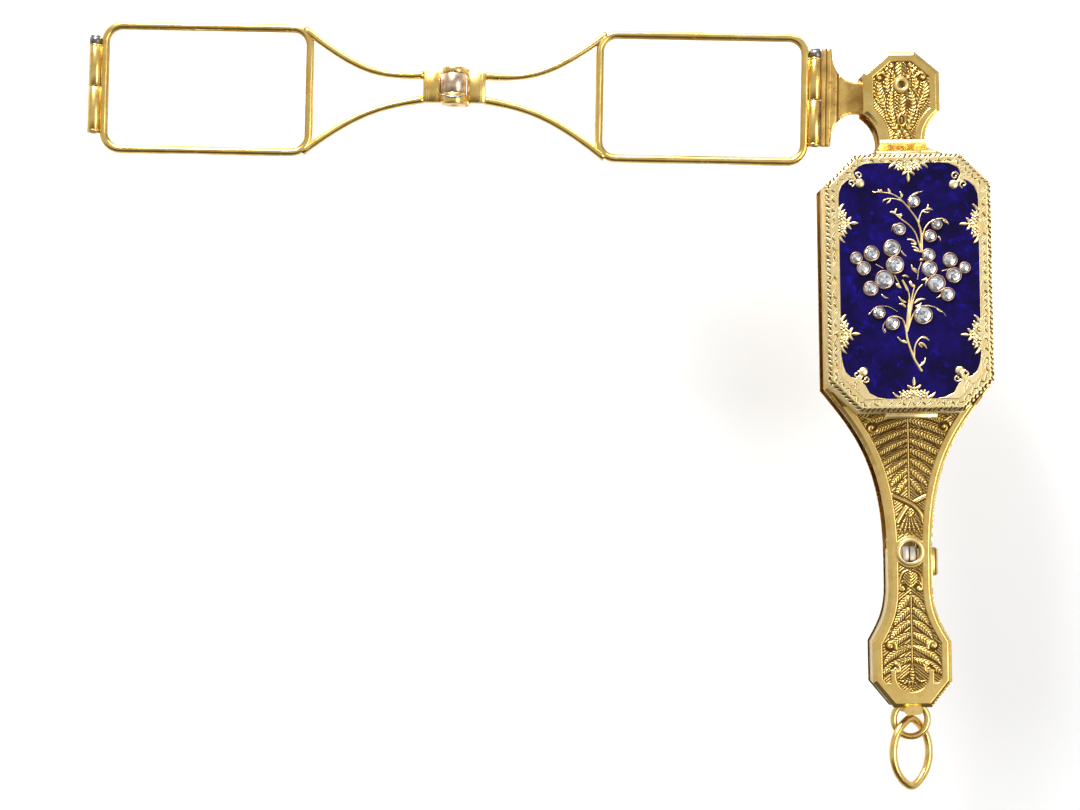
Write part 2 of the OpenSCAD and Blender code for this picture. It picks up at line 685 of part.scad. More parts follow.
groove_z = low_z - low_knuckle / 3;
groove_len = low_knuckle * 0.44;
groove_depth = catch_bite + free_gap;
module near_yoke() color(gold) open_frame() yoke([[top_z, barrel_z1], [barrel_z0, low_z]]) {
    barrel_axis() rod_z(pin_r + seat_gap, barrel_z0 - 1, barrel_z1 + 1);
    // Groove in the bottom knuckle for the catch bolt
    barrel_axis() difference() {
        rod_z(barrel_r + 0.13, groove_z - groove_len, groove_z);
        rod_z(barrel_r - groove_depth, groove_z - groove_len - 1, groove_z + 1);
    }
}

bush_r = 1;
module far_yoke() color(gold) open_frame() far_side() yoke([[low_z + 0.04, top_z - 0.04]])
    barrel_axis() union() {
        rod_z(pin_r + run_gap, barrel_z0 - 1, barrel_z1 + 1);
        rod_z(bush_r, low_z + 0.5, top_z - 0.5);
    }

module bridge_pin() color(steel) open_frame() barrel_axis() rod_z(pin_r, barrel_z0, barrel_z1);

// The torsion spring's outer shape, wound round the pin inside the middle knuckle
module bridge_spring() color(steel) open_frame() barrel_axis() difference() {
    rod_z(bush_r - free_gap, low_z + 0.6, top_z - 0.6);
    rod_z(pin_r + seat_gap, low_z, top_z);
}

module near_rim() color(gold) open_frame() rim();
module near_lens() color(clear_glass) open_frame() lens();
module near_closing_screw() color(steel) open_frame() closing_screw();
module far_rim() color(gold) open_frame() far_side() rim();
module far_lens() color(clear_glass) open_frame() far_side() lens();
module far_closing_screw() color(steel) open_frame() far_side() closing_screw();

// Arm: eye on the hub, waisted web and the tall plate soldered to the near tube
plate_x1 = tube_x + tube_r + 2;
web_h = 2.2;
arm_y0 = rim_y0;
arm_y1 = rim_y1 - 0.05;
arm_half = concat(
    [[plate_x1 - 2 - tube_r, tube_len / 2], [plate_x1, tube_len / 2], [plate_x1, web_h + 2.2]],
    curve([plate_x1, web_h + 2.2], [plate_x1 + 0.1, web_h + 0.8],
        [plate_x1 + 0.9, web_h + 0.1], [plate_x1 + 2.2, web_h]),
    [[-eye_r * 0.7, web_h]]
);
arm_points = [
    for (i = [0:len(arm_half) - 1]) if (i == 0 || arm_half[i] != arm_half[i - 1]) arm_half[i]
];
module arm() color(gold) open_frame() difference() {
    union() {
        slab(arm_y0, arm_y1) polygon(concat(
            [for (p = arm_points) [p[0], arm_z + p[1]]],
            [for (i = [len(arm_points) - 1:-1:0]) [arm_points[i][0], arm_z - arm_points[i][1]]]
        ));
        rod_y(eye_r, arm_y0, arm_y1);
    }
    rod_y(hub_r + seat_gap, -slot_y, slot_y);
    tube_axis() rod_z(tube_r, tube_z0 - 1, tube_z1 + screw_head + 1);
    block([rim_x0, -slot_y, -rim_h], [tube_x, slot_y, rim_h]);
}

// Catch: button, bolt, spring and the block seen in the window
button_x = waist_w / 2 + free_gap + 0.05;
module catch_bolt() color(steel) at_pivot() {
    block([bolt_left, -bolt_w / 2, bolt_top - bolt_h], [bolt_right, bolt_w / 2, bolt_top]);
    tip_w = groove_len - 2 * free_gap;
    tip_top = -hinge_u - barrel_r + catch_bite;
    tip_left = barrel_mid - groove_z + free_gap;
    slab(-0.5, 0.5) polygon([
        [tip_left, bolt_top - 0.1], [tip_left + tip_w, bolt_top - 0.1],
        [tip_left + tip_w, tip_top], [tip_left, tip_top - 0.25]
    ]);
    block([bolt_right - 0.1, -stem_w / 2, stem_top - stem_h], [button_x, stem_w / 2, stem_top]);
}

ridges = 9;
module slide_button() color(gold) at_pivot() union() {
    z1 = bolt_top + 0.6;
    base = button_out * 0.6;
    pitch = button_len / ridges;
    block([button_x, -button_w / 2, z1 - button_len], [button_x + base, button_w / 2, z1]);
    // The thumb grip: ridges across the button
    for (i = [0:ridges - 1]) block(
        [button_x + base - 0.05, -button_w / 2 + 0.15, z1 - pitch * (i + 0.75)],
        [button_x + button_out, button_w / 2 - 0.15, z1 - pitch * (i + 0.25)]);
}

module window_block() color(white) at_pivot() difference() {
    block([-window_block_w / 2, -slot_y + free_gap, window_block_top - window_block_h],
        [window_block_w / 2, -bolt_w / 2, window_block_top]);
    block([-0.15, -slot_y, window_block_top - window_block_h * 0.7],
        [0.15, -slot_y + free_gap + 0.2, window_block_top - window_block_h * 0.25]);
}

spring_r = 0.95;
module catch_spring() color(steel) at_pivot() difference() {
    rod_z(spring_r, pocket_end, bolt_top - bolt_h);
    rod_z(spring_r - 0.3, pocket_end - 1, bolt_top - bolt_h + 1);
}

// Rings below the foot: a cross pin with an oval head, a jump ring round it and a chain ring
ring_pin_z = foot_end - 0.34;
cheek_outline = round_box(-cheek_w / 2, cheek_w / 2, ring_pin_z - cheek_h / 2,
    ring_pin_z + cheek_h / 2, cheek_h / 2 - 0.05, 6);
// The pin's head stands out in front; its back end is filed flush with the back shell
module cheeks(grow, front) {
    slab(-shell_y - front, -shell_y + bevel_h) polygon(inset(cheek_outline, -grow));
    slab(shell_y - bevel_h, shell_y) polygon(inset(cheek_outline, -grow));
}
module ring_pin() color(gold) at_pivot() union() {
    translate([0, 0, ring_pin_z]) rod_y(ring_pin_r, -shell_y, shell_y);
    cheeks(0, 0.3);
}

jump_top = ring_pin_z + ring_pin_r + run_gap + jump_wire_r;
jump_mid = jump_top - jump_r;
module torus_arc(path_r, wire_r, a0, a1) rotate([0, 0, a0]) rotate_extrude(angle = a1 - a0)
    translate([path_r, 0]) circle(r = wire_r, $fn = 24);
module jump_ring() color(gold) at_pivot() translate([0, 0, jump_mid])
    rotate([90, 0, 0]) rotate_extrude() translate([jump_r, 0]) circle(r = jump_wire_r, $fn = 24);

// The chain ring hangs in the jump ring, turned so that the wires cross clear of each other
chain_yaw = 33;
chain_drop = 0.5;
chain_half_w = chain_in_w / 2 + chain_wire_r;
chain_half_len = chain_in_len / 2 + chain_wire_r;
chain_mid = ring_pin_z - ring_pin_r - chain_drop - chain_wire_r - chain_half_len;
// Two side arcs run smoothly into two tighter end arcs
chain_end = chain_half_len - chain_end_r;
chain_side_r = (chain_half_w * chain_half_w + chain_end * chain_end - chain_end_r * chain_end_r)
    / (2 * (chain_half_w - chain_end_r));
chain_angle = atan2(chain_end, chain_side_r - chain_half_w);
module chain_ring() color(gold) at_pivot() translate([0, 0, chain_mid]) rotate([0, 0, chain_yaw])
    rotate([90, 0, 0]) union() for (turn = [0, 180]) rotate([0, 0, turn]) {
        translate([chain_half_w - chain_side_r, 0, 0])
            torus_arc(chain_side_r, chain_wire_r, -chain_angle, chain_angle);
        // The end arcs are a hair thinner and run a little way into the side arcs
        translate([0, chain_end, 0])
            torus_arc(chain_end_r, chain_wire_r - 0.015, chain_angle - 3, 183 - chain_angle);
    }

back_shell();
front_shell();
side_wall();
shoulder();
tail_block();
pivot_rivet();
stop_pin();
kick_spring();
window_boss();
watch_box();
lid_hinge_pin();
watch_plate();
movement();
dial();
dial_bezel();
dial_crystal();
minute_hand();
hour_hand();
winding_square();
catch_spring();
ring_pin();
pivot_hub();
arm();
near_rim();
near_lens();
near_closing_screw();
near_yoke();
bridge_pin();
bridge_spring();
far_rim();
far_lens();
far_closing_screw();
far_yoke();
lid_frame();
enamel_panel();
stone_settings();
rose_stones();
lid_thumb_piece();
slide_button();
catch_bolt();
window_block();
jump_ring();
chain_ring();
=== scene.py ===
# Looks of the folding lorgnette. Metres; +Z up the handle, +Y to the back.
import json
import math
from itertools import product

import bmesh
import bpy
import numpy as np
from mathutils import Matrix, Vector


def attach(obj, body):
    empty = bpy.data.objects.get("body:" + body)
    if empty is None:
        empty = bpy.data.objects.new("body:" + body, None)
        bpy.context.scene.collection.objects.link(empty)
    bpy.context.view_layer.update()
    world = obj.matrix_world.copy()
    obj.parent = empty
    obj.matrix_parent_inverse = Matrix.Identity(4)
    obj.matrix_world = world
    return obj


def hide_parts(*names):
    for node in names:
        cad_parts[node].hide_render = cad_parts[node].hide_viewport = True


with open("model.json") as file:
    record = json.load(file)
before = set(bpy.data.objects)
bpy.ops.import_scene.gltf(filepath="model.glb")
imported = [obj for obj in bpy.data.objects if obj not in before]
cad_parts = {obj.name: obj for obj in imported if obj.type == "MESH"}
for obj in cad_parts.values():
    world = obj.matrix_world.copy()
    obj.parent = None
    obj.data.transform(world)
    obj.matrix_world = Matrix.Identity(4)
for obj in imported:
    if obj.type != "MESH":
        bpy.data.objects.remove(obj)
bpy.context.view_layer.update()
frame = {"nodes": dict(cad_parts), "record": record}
MM = 0.001
rng = np.random.default_rng(7)

# Sizes shared with the CAD source, in millimetres from the pivot where not said
PIVOT_Z = 70.0
LIFT = math.radians(1.9)
HINGE_U = 62.3
LENS_DROP = 1.8
ARM_Z = -1.45
BARREL_Z = -1.0


# Small mesh and curve helpers, all in millimetres
def row(points):
    """Points measured from the pivot, moved to the shared frame."""
    return np.asarray(points, float) + (0, 0, PIVOT_Z)


def opened(points):
    """Points of the open spectacles (x = minus the distance from the pivot)."""
    p = np.asarray(points, float)
    x = p[:, 0] * math.cos(LIFT) + p[:, 2] * math.sin(LIFT)
    z = -p[:, 0] * math.sin(LIFT) + p[:, 2] * math.cos(LIFT)
    return row(np.column_stack([x, p[:, 1], z]))


def far(points):
    """The far spectacle mirrors the near one about the bridge hinge."""
    p = np.array(points, float)
    p[:, 0] = -2 * HINGE_U - p[:, 0]
    return p


def opened_far(points):
    """Near spectacle's points, mirrored to the far one and opened."""
    return opened(far(points))


def mesh(name, verts, faces, wear, material, body, slot, smooth=True, replaces=()):
    """A mesh object that rides on a body, may replace solids, and carries its tarnish and painted shade in
    one value per vertex.
    """
    data = bpy.data.meshes.new(name)
    data.from_pydata([tuple(v) for v in np.asarray(verts) * MM], [], [tuple(f) for f in faces])
    data.validate()
    shape = bmesh.new()
    shape.from_mesh(data)
    bmesh.ops.recalc_face_normals(shape, faces=shape.faces)
    shape.to_mesh(data)
    shape.free()
    layer = data.attributes.new("wear", "FLOAT", "POINT")
    layer.data.foreach_set("value", np.asarray(wear, np.float32))
    data.polygons.foreach_set("use_smooth", [smooth] * len(data.polygons))
    data.materials.append(material)
    obj = bpy.data.objects.new(name, data)
    bpy.context.scene.collection.objects.link(obj)
    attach(obj, body)
    if replaces:
        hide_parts(*replaces)


class Build:
    """Collects parts of one mesh."""

    def __init__(self):
        self.verts, self.faces, self.wear, self.count = [], [], [], 0

    def add(self, verts, faces, wear=None):
        """Adds vertices with their tarnish and painted shade, and faces that count from the first of them.
        """
        verts = np.asarray(verts, float)
        self.faces += [tuple(int(i) + self.count for i in f) for f in faces]
        self.verts.append(verts)
        self.wear.append(np.zeros(len(verts)) if wear is None else np.asarray(wear, float))
        self.count += len(verts)

    def make(self, name, material, body, move, slot, **more):
        """Makes the mesh, with its places moved by the function move."""
        verts, wear = move(np.concatenate(self.verts)), np.concatenate(self.wear)
        mesh(name, verts, self.faces, wear, material, body, slot, **more)


def ring_faces(rows, cols, closed_rows=False, closed_cols=True):
    """Quads of a grid of rows x cols vertices."""
    out = []
    for i in range(rows if closed_rows else rows - 1):
        for j in range(cols if closed_cols else cols - 1):
            a, b = i * cols + j, i * cols + (j + 1) % cols
            c, d = ((i + 1) % rows) * cols + (j + 1) % cols, ((i + 1) % rows) * cols + j
            out.append((a, b, c, d))
    return out


def sweep(build, path, radius, sides, closed=False, flat=1.0, wear=0.0):
    """A round or flattened wire along a path; radius may vary along it."""
    path = np.asarray(path, float)
    n = len(path)
    radius = np.broadcast_to(np.asarray(radius, float), (n,))
    nxt = np.roll(path, -1, 0) if closed else np.vstack([path[1:], path[-1:]])
    prv = np.roll(path, 1, 0) if closed else np.vstack([path[:1], path[:-1]])
    tangent = nxt - prv
    tangent /= np.linalg.norm(tangent, axis=1)[:, None]
    side = np.cross(tangent, (0.0, 1.0, 0.0))
    side /= np.linalg.norm(side, axis=1)[:, None]
    other = np.cross(side, tangent)
    a = np.linspace(0, 2 * math.pi, sides, endpoint=False)
    ring = (
        path[:, None, :]
        + side[:, None, :] * (np.cos(a)[None, :, None] * radius[:, None, None])
        + other[:, None, :] * (np.sin(a)[None, :, None] * radius[:, None, None] * flat)
    )
    faces = ring_faces(n, sides, closed_rows=closed)
    if not closed:
        faces += [tuple(range(sides)), tuple(range((n - 1) * sides, n * sides))[::-1]]
    build.add(ring.reshape(-1, 3), faces, np.full(n * sides, wear))


def ball(build, centre, radius, flat=1.0, rings=8, sides=14):
    """A ball, flattened along Y by flat."""
    t = np.linspace(0, math.pi, rings)[:, None]
    a = np.linspace(0, 2 * math.pi, sides, endpoint=False)[None, :]
    p = np.stack([np.sin(t) * np.cos(a), -np.cos(t) * flat + 0 * a, np.sin(t) * np.sin(a)], -1)
    build.add(p.reshape(-1, 3) * radius + np.asarray(centre, float), ring_faces(rings, sides))


def polar(x, z, radius, angle):
    """Places on a circle or spiral about x, z; angles in radians."""
    return np.column_stack([x + radius * np.cos(angle), z + radius * np.sin(angle)])


def at_depth(flat, y):
    """Places given in X and Z, set at y."""
    return np.column_stack([flat[:, 0], np.broadcast_to(y, len(flat)), flat[:, 1]])


def smooth_path(points, steps=10):
    """A smooth path through the points, any number of columns."""
    p = np.asarray(points, float)
    out = []
    for i in range(len(p) - 1):
        q = p[np.clip(i + np.array([-1, 0, 1, 2]), 0, len(p) - 1)]
        for t in np.linspace(0, 1, steps, endpoint=False):
            out.append(0.5 * (2 * q[1] + (q[2] - q[0]) * t
                              + (2 * q[0] - 5 * q[1] + 4 * q[2] - q[3]) * t**2
                              + (3 * q[1] - q[0] - 3 * q[2] + q[3]) * t**3))
    return np.vstack([out, p[-1:]])


def outline_of(half):
    """A closed outline from its right half, top to bottom."""
    half = np.asarray(half, float)
    return np.vstack([half, half[::-1] * (-1, 1)])


def cubic(p0, p1, p2, p3, n=12):
    """Places along a curve from p0 to p3 with two control points."""
    t = np.linspace(0, 1, n + 1)[:, None]
    s = 1 - t
    return (s**3 * np.array(p0) + 3 * s * s * t * np.array(p1) + 3 * s * t * t * np.array(p2)
            + t**3 * np.array(p3))


def edge_distance(points, outline):
    """Distance to a closed outline, positive inside."""
    p = np.asarray(points, float)
    a, b = outline, np.roll(outline, -1, 0)
    best = np.full(len(p), 1e9)
    inside = np.zeros(len(p), bool)
    for (ax, az), (bx, bz) in zip(a, b):
        dx, dz = bx - ax, bz - az
        ll = dx * dx + dz * dz
        if ll < 1e-12:
            continue
        t = np.clip(((p[:, 0] - ax) * dx + (p[:, 1] - az) * dz) / ll, 0, 1)
        best = np.minimum(best, np.hypot(p[:, 0] - ax - t * dx, p[:, 1] - az - t * dz))
        cross = (az > p[:, 1]) != (bz > p[:, 1])
        with np.errstate(divide="ignore", invalid="ignore"):
            hit = p[:, 0] < dx * (p[:, 1] - az) / (dz if dz else 1e-12) + ax
        inside ^= cross & hit
    return np.where(inside, best, -best)


# Materials
def fill(tree, shader, inputs):
    """Links or sets the inputs of a shader node; colours have three values."""
    for key, value in inputs.items():
        socket = shader.inputs[key]
        if isinstance(value, bpy.types.NodeSocket):
            tree.links.new(value, socket)
        else:
            socket.default_value = (*value, 1) if socket.type == "RGBA" else value


def node(tree, kind, inputs=None, **props):
    """Adds a shader node with its properties and inputs."""
    n = tree.nodes.new(kind)
    for key, value in props.items():
        setattr(n, key, value)
    fill(tree, n, inputs or {})
    return n


def material(name):
    """A new material, its tree and its main shader."""
    mat = bpy.data.materials.new(name)
    mat.use_nodes = True
    shader = next(n for n in mat.node_tree.nodes if n.type == "BSDF_PRINCIPLED")
    return mat, mat.node_tree, shader


def mix(tree, factor, a, b):
    """Colour between a and b."""
    return node(tree, "ShaderNodeMix", {0: factor, 6: a, 7: b}, data_type="RGBA").outputs[2]


def noise(tree, scale, detail, rough=0.5):
    """Noise in the object's own places, per metre."""
    place = node(tree, "ShaderNodeTexCoord").outputs["Object"]
    return node(tree, "ShaderNodeTexNoise", {"Vector": place, "Scale": scale, "Detail": detail,
                                             "Roughness": rough}).outputs[0]


def ramp(tree, value, low, high, out_low=0.0, out_high=1.0):
    """A value stretched from one range to another, and kept inside it."""
    return node(tree, "ShaderNodeMapRange", {"Value": value, "From Min": low, "From Max": high,
                                             "To Min": out_low, "To Max": out_high}).outputs[0]


def bump(tree, height, strength, distance):
    """Small unevenness of a face."""
    return node(tree, "ShaderNodeBump", {"Height": height, "Strength": strength,
                                         "Distance": distance}).outputs[0]


def worn(tree):
    """The tarnish and painted shade value that each mesh carries."""
    return node(tree, "ShaderNodeAttribute", attribute_name="wear").outputs["Fac"]


def gold_material(name, clean, deep, dark, rough=0.22, spots=0.0):
    """Polished gold: warmer patches, dark where the tarnish and painted shade value is high, fine grain.
    """
    mat, tree, shader = material(name)
    tone = mix(tree, ramp(tree, noise(tree, 420, 4, 0.6), 0.38, 0.66), clean, deep)
    wear = worn(tree)
    if spots:
        speckle = ramp(tree, noise(tree, 1300, 5, 0.72), 0.55, 0.68, 0.0, spots)
        wear = node(tree, "ShaderNodeMath", {0: wear, 1: speckle}, operation="MAXIMUM").outputs[0]
    uneven = ramp(tree, noise(tree, 700, 2), 0.3, 0.7, 0, 0.06)
    gloss = node(tree, "ShaderNodeMath", {0: ramp(tree, wear, 0, 1, rough, 0.6), 1: uneven},
                 operation="ADD").outputs[0]
    fill(tree, shader, {"Base Color": mix(tree, ramp(tree, wear, 0.0, 1.0), tone, dark), "Metallic": 1.0,
                        "Roughness": gloss, "Normal": bump(tree, noise(tree, 900, 3), 0.006, 0.0004)})
    return mat


GOLD = gold_material("gold", (0.92, 0.66, 0.23), (0.80, 0.53, 0.14), (0.085, 0.036, 0.008))
PALE = gold_material("pale_gold", (0.97, 0.79, 0.42), (0.90, 0.67, 0.28), (0.09, 0.045, 0.012), 0.3)
OVERLAY = gold_material("overlay_gold", (0.98, 0.80, 0.44), (0.92, 0.69, 0.32), (0.12, 0.06, 0.02), 0.34)
AGED = gold_material("aged_gold", (0.88, 0.60, 0.18), (0.52, 0.30, 0.08), (0.07, 0.03, 0.008), 0.3, 0.75)
ROSY = gold_material("setting_gold", (0.62, 0.42, 0.30), (0.42, 0.26, 0.17), (0.12, 0.06, 0.04), 0.32)
GILT = gold_material("gilt", (0.78, 0.58, 0.28), (0.70, 0.50, 0.22), (0.15, 0.08, 0.03), 0.42)


def steel_material(name, clean, deep, rough, metal=1.0):
    """Worn steel and other white metals."""
    mat, tree, shader = material(name)
    fill(tree, shader, {
        "Base Color": mix(tree, ramp(tree, noise(tree, 1200, 3), 0.35, 0.65), clean, deep),
        "Metallic": metal,
        "Roughness": ramp(tree, noise(tree, 3000, 2), 0.3, 0.7, rough - 0.05, rough + 0.08)})
    return mat


DARK = steel_material("dark_steel", (0.27, 0.25, 0.24), (0.15, 0.14, 0.14), 0.34)
SPRING = steel_material("spring_steel", (0.42, 0.42, 0.45), (0.32, 0.32, 0.35), 0.28)
BLUED = steel_material("blued_steel", (0.05, 0.08, 0.30), (0.03, 0.05, 0.20), 0.2)
SILVER = steel_material("silver", (0.95, 0.92, 0.87), (0.80, 0.76, 0.70), 0.4, 0.35)
COPPER = steel_material("grey_copper", (0.84, 0.63, 0.45), (0.50, 0.36, 0.26), 0.3)


def enamel_material():
    """Translucent blue enamel: lighter and darker blotches under a clear glassy face."""
    mat, tree, shader = material("blue_enamel")
    cloud = ramp(tree, noise(tree, 330, 5, 0.62), 0.40, 0.62)
    tone = mix(tree, cloud, (0.0035, 0.0013, 0.026), (0.006, 0.0022, 0.075))
    streaks = ramp(tree, noise(tree, 700, 6, 0.75), 0.54, 0.74)
    fill(tree, shader, {
        "Base Color": mix(tree, streaks, tone, (0.010, 0.006, 0.27)), "Metallic": 0.0, "Roughness": 0.3,
        "Coat Weight": 0.1, "Coat Roughness": 0.05, "Specular IOR Level": 0.06,
        "Normal": bump(tree, noise(tree, 240, 2), 0.12, 0.0003)})
    return mat


def plain_material(name, colour, rough, coat=0.0):
    """One colour with faint patches."""
    mat, tree, shader = material(name)
    tone = mix(tree, ramp(tree, noise(tree, 500, 3), 0.3, 0.7), colour, tuple(0.93 * c for c in colour))
    fill(tree, shader, {"Base Color": tone, "Roughness": rough, "Coat Weight": coat})
    return mat


def glass_material(name, tint, amount):
    """Thin clear glass: mostly open, with a mirror reflection that grows at shallow angles."""
    mat, tree, _ = material(name)
    tree.nodes.clear()
    shade = node(tree, "ShaderNodeLightPath").outputs["Is Shadow Ray"]
    colour = mix(tree, shade, tint, (0.66, 0.66, 0.66))
    clear = node(tree, "ShaderNodeBsdfTransparent", {"Color": colour}).outputs[0]
    gloss = node(tree, "ShaderNodeBsdfGlossy", {"Roughness": 0.02}).outputs[0]
    weight = node(tree, "ShaderNodeLayerWeight", {"Blend": 0.12}).outputs["Fresnel"]
    share = node(tree, "ShaderNodeMath", {0: weight, 1: amount}, operation="MULTIPLY").outputs[0]
    both = node(tree, "ShaderNodeMixShader", {0: share, 1: clear, 2: gloss}).outputs[0]
    node(tree, "ShaderNodeOutputMaterial", {"Surface": both})
    return mat


ENAMEL = enamel_material()
WHITE = plain_material("white_enamel", (0.86, 0.85, 0.80), 0.18, 0.6)
INK = plain_material("dial_ink", (0.02, 0.02, 0.025), 0.4)
LENS = glass_material("lens_glass", (0.985, 0.99, 0.987), 0.5)
CRYSTAL = glass_material("crystal", (0.98, 0.985, 0.985), 0.7)


def stone_material():
    """Old rose-cut stones: facets painted bright and dark as glints and reflections, over a grey, closed
    foil back.
    """
    mat, tree, shader = material("diamond")
    # Each facet's value paints it from bright to dark: painted glints and painted reflections.
    tone = mix(tree, ramp(tree, worn(tree), 0, 1), (0.86, 0.87, 0.88), (0.14, 0.145, 0.16))
    tone = mix(tree, ramp(tree, noise(tree, 1500, 2), 0.35, 0.7, 0, 0.35), tone, (0.5, 0.5, 0.53))
    fill(tree, shader, {"Base Color": tone, "Metallic": 0.75, "Roughness": 0.12, "Coat Weight": 0.6,
                        "Coat Roughness": 0.03})
    return mat


DIAMOND = stone_material()

SLOT_OF = {
    "gold": GOLD, "lid_gold": PALE, "setting_gold": ROSY, "gilt": GILT, "dark_steel": DARK,
    "spring_steel": SPRING, "blued_steel": BLUED, "silver": SILVER, "blue_enamel": ENAMEL,
    "white_enamel": WHITE, "lens_glass": LENS, "crystal": CRYSTAL, "diamond": DIAMOND,
}
for part in frame["record"]["subparts"]:
    surfaces = frame["nodes"][part["node"]].data.materials
    surfaces.clear()
    surfaces.append(AGED if part["node"] == "arm" else SLOT_OF[part["material_slot"]])


# Engraved plates are height fields: raised scrolls, stems and leaves stamped on a fine grid
PLUME_HIGH = 0.2


class Relief:
    """A grid of heights (mm, raised is positive) over an outline in X and Z."""

    def __init__(self, outline, step):
        self.outline = np.asarray(outline, float)
        self.step = step
        lo, hi = self.outline.min(0) - step, self.outline.max(0) + step
        self.x = np.arange(lo[0], hi[0] + step, step)
        self.z = np.arange(lo[1], hi[1] + step, step)
        self.gx, self.gz = np.meshgrid(self.x, self.z)
        flat = np.column_stack([self.gx.ravel(), self.gz.ravel()])
        self.edge = edge_distance(flat, self.outline).reshape(self.gx.shape)
        self.art = np.zeros_like(self.gx)
        self.cut = np.zeros_like(self.gx)

    def part(self, low, high):
        """The part of the grid between two corners, with one row to spare."""
        j0, j1 = np.searchsorted(self.x, (low[0], high[0]))
        i0, i1 = np.searchsorted(self.z, (low[1], high[1]))
        return np.s_[max(i0 - 1, 0) : i1 + 1, max(j0 - 1, 0) : j1 + 1]

    def stamp(self, path, width, high, mirror=False, round_top=True):
        """Raises a rounded band along a path; width may vary along it."""
        path = np.asarray(path, float)
        width = np.broadcast_to(np.asarray(width, float), (len(path),))
        length = np.r_[0, np.cumsum(np.hypot(*np.diff(path, axis=0).T))] if len(path) > 1 else [0]
        if length[-1] > 0:
            at = np.arange(0, length[-1] + self.step * 0.3, self.step * 0.6)
            path = np.column_stack([np.interp(at, length, path[:, k]) for k in (0, 1)])
            width = np.interp(at, length, width)
        for (px, pz), w in zip(path, width):
            r = max(w / 2, self.step * 0.55)
            for x in (px, -px) if mirror else (px,):
                sub = self.part((x - r, pz - r), (x + r, pz + r))
                d2 = ((self.gx[sub] - x) ** 2 + (self.gz[sub] - pz) ** 2) / (r * r)
                top = np.sqrt(np.clip(1 - d2, 0, 1)) if round_top else np.clip((1 - d2) * 3, 0, 1)
                top *= high * min(1.0, r / 0.12)
                self.art[sub] = np.maximum(self.art[sub], top)

    def fill(self, shape, high):
        """Raises a flat patch inside a closed outline, with a soft edge."""
        sub = self.part(shape.min(0) - 0.2, shape.max(0) + 0.2)
        depth = edge_distance(np.column_stack([self.gx[sub].ravel(), self.gz[sub].ravel()]), shape)
        top = high * np.clip(depth.reshape(self.gx[sub].shape) / 0.07 + 0.5, 0, 1)
        self.art[sub] = np.maximum(self.art[sub], top)

    def scroll(self, x, z, size, turn, hand, turns, width, high):
        """Two mirrored volutes: the inner end sits at x, z, the tail leaves at the angle turn."""
        t = np.linspace(0, 1, 60)
        r = size * (0.14 + 0.86 * t**1.2)
        a = math.radians(turn) - hand * (1 - t) * turns * 2 * math.pi
        path = polar(x, z, r, a)
        self.stamp(path, width * (0.75 + 0.4 * t), high, True)
        self.stamp([(x, z)], [width * 1.5], high * 1.1, True)

    def leaf(self, x, z, length, turn, width, bend, high):
        """Two mirrored pointed leaves with a bend, growing from x, z."""
        t = np.linspace(0, 1, 24)
        a = math.radians(turn) + bend * t * 1.6
        path = np.array([x, z]) + length * np.column_stack(
            [np.cumsum(np.cos(a)), np.cumsum(np.sin(a))]) / len(t)
        self.stamp(path, width * np.clip(np.sin(math.pi * (0.12 + 0.86 * t)), 0.12, 1), high, True)

    def blade(self, x0, z0, x1, z1, width, high, bend):
        """A leaf from its foot to its tip, widest past the middle and slightly bent."""
        t = np.linspace(0, 1, 14)
        side = bend * np.sin(math.pi * t)
        dx, dz = x1 - x0, z1 - z0
        path = np.column_stack([x0 + dx * t - dz * side, z0 + dz * t + dx * side])
        self.stamp(path, width * np.clip(np.sin(math.pi * (0.1 + 0.82 * t**0.8)), 0.2, 1), high)

    def clear(self, path, width, mirror=False):
        """Sinks the art round a path, so that what comes next stands free."""
        art, self.art = self.art, np.zeros_like(self.art)
        self.stamp(path, width, 1.0, mirror, round_top=False)
        self.art = art * (1 - np.clip(self.art * 1.5, 0, 1))

    def engrave(self, path, width, depth):
        """A fine cut line along a path."""
        art, self.art = self.art, self.cut
        self.stamp(path, width, depth)
        self.art = art

    def speck(self, x, z, reach, width, depth):
        """A short cut in a random direction."""
        self.engrave([(x, z), (x + reach * rng.normal(), z + reach * rng.normal())], width, depth)

    def plume(self, path, width, pitch=0.42, lean=0.9, mirror=False):
        """A feather over what lies under it: a rib, slanted barbs on both sides and a dark edge."""
        for side in (1, -1) if mirror else (1,):
            p = smooth_path(np.asarray(path, float) * (side, 1))
            d = np.gradient(p, axis=0)
            d /= np.hypot(*d.T)[:, None]
            s = np.r_[0, np.cumsum(np.hypot(*np.diff(p, axis=0).T))]
            half = width / 2 * np.sin(math.pi * (0.1 + 0.84 * s / s[-1])) ** 0.5
            sub = self.part(p.min(0) - width, p.max(0) + width)
            gx, gz = self.gx[sub], self.gz[sub]
            away = np.hypot(gx[..., None] - p[:, 0], gz[..., None] - p[:, 1])
            k, off = away.argmin(-1), away.min(-1)
            ahead = s[k] + (gx - p[k, 0]) * d[k, 0] + (gz - p[k, 1]) * d[k, 1]
            inside = (off < half[k]) & (ahead > -0.1) & (ahead < s[-1] + 0.1)
            barb = (0.5 + 0.5 * np.cos(2 * math.pi * (ahead - lean * off) / pitch)) ** 0.75
            top = np.maximum(0.04 + 0.9 * barb, 1.1 * np.clip(1.2 - off / 0.13, 0, 1))
            top *= PLUME_HIGH * np.clip((half[k] - off) / 0.2 - 0.3, 0, 1)
            self.art[sub] = np.where(inside, top, self.art[sub])

    def flower(self, x, z, r, petals, high, turn):
        """Round petals about a raised heart."""
        for a in 2 * math.pi * np.arange(petals) / petals + turn:
            self.stamp([(x + 0.58 * r * math.cos(a), z + 0.58 * r * math.sin(a))], [r * 0.72], high)
        self.stamp([(x, z)], [r * 0.6], high * 1.3)

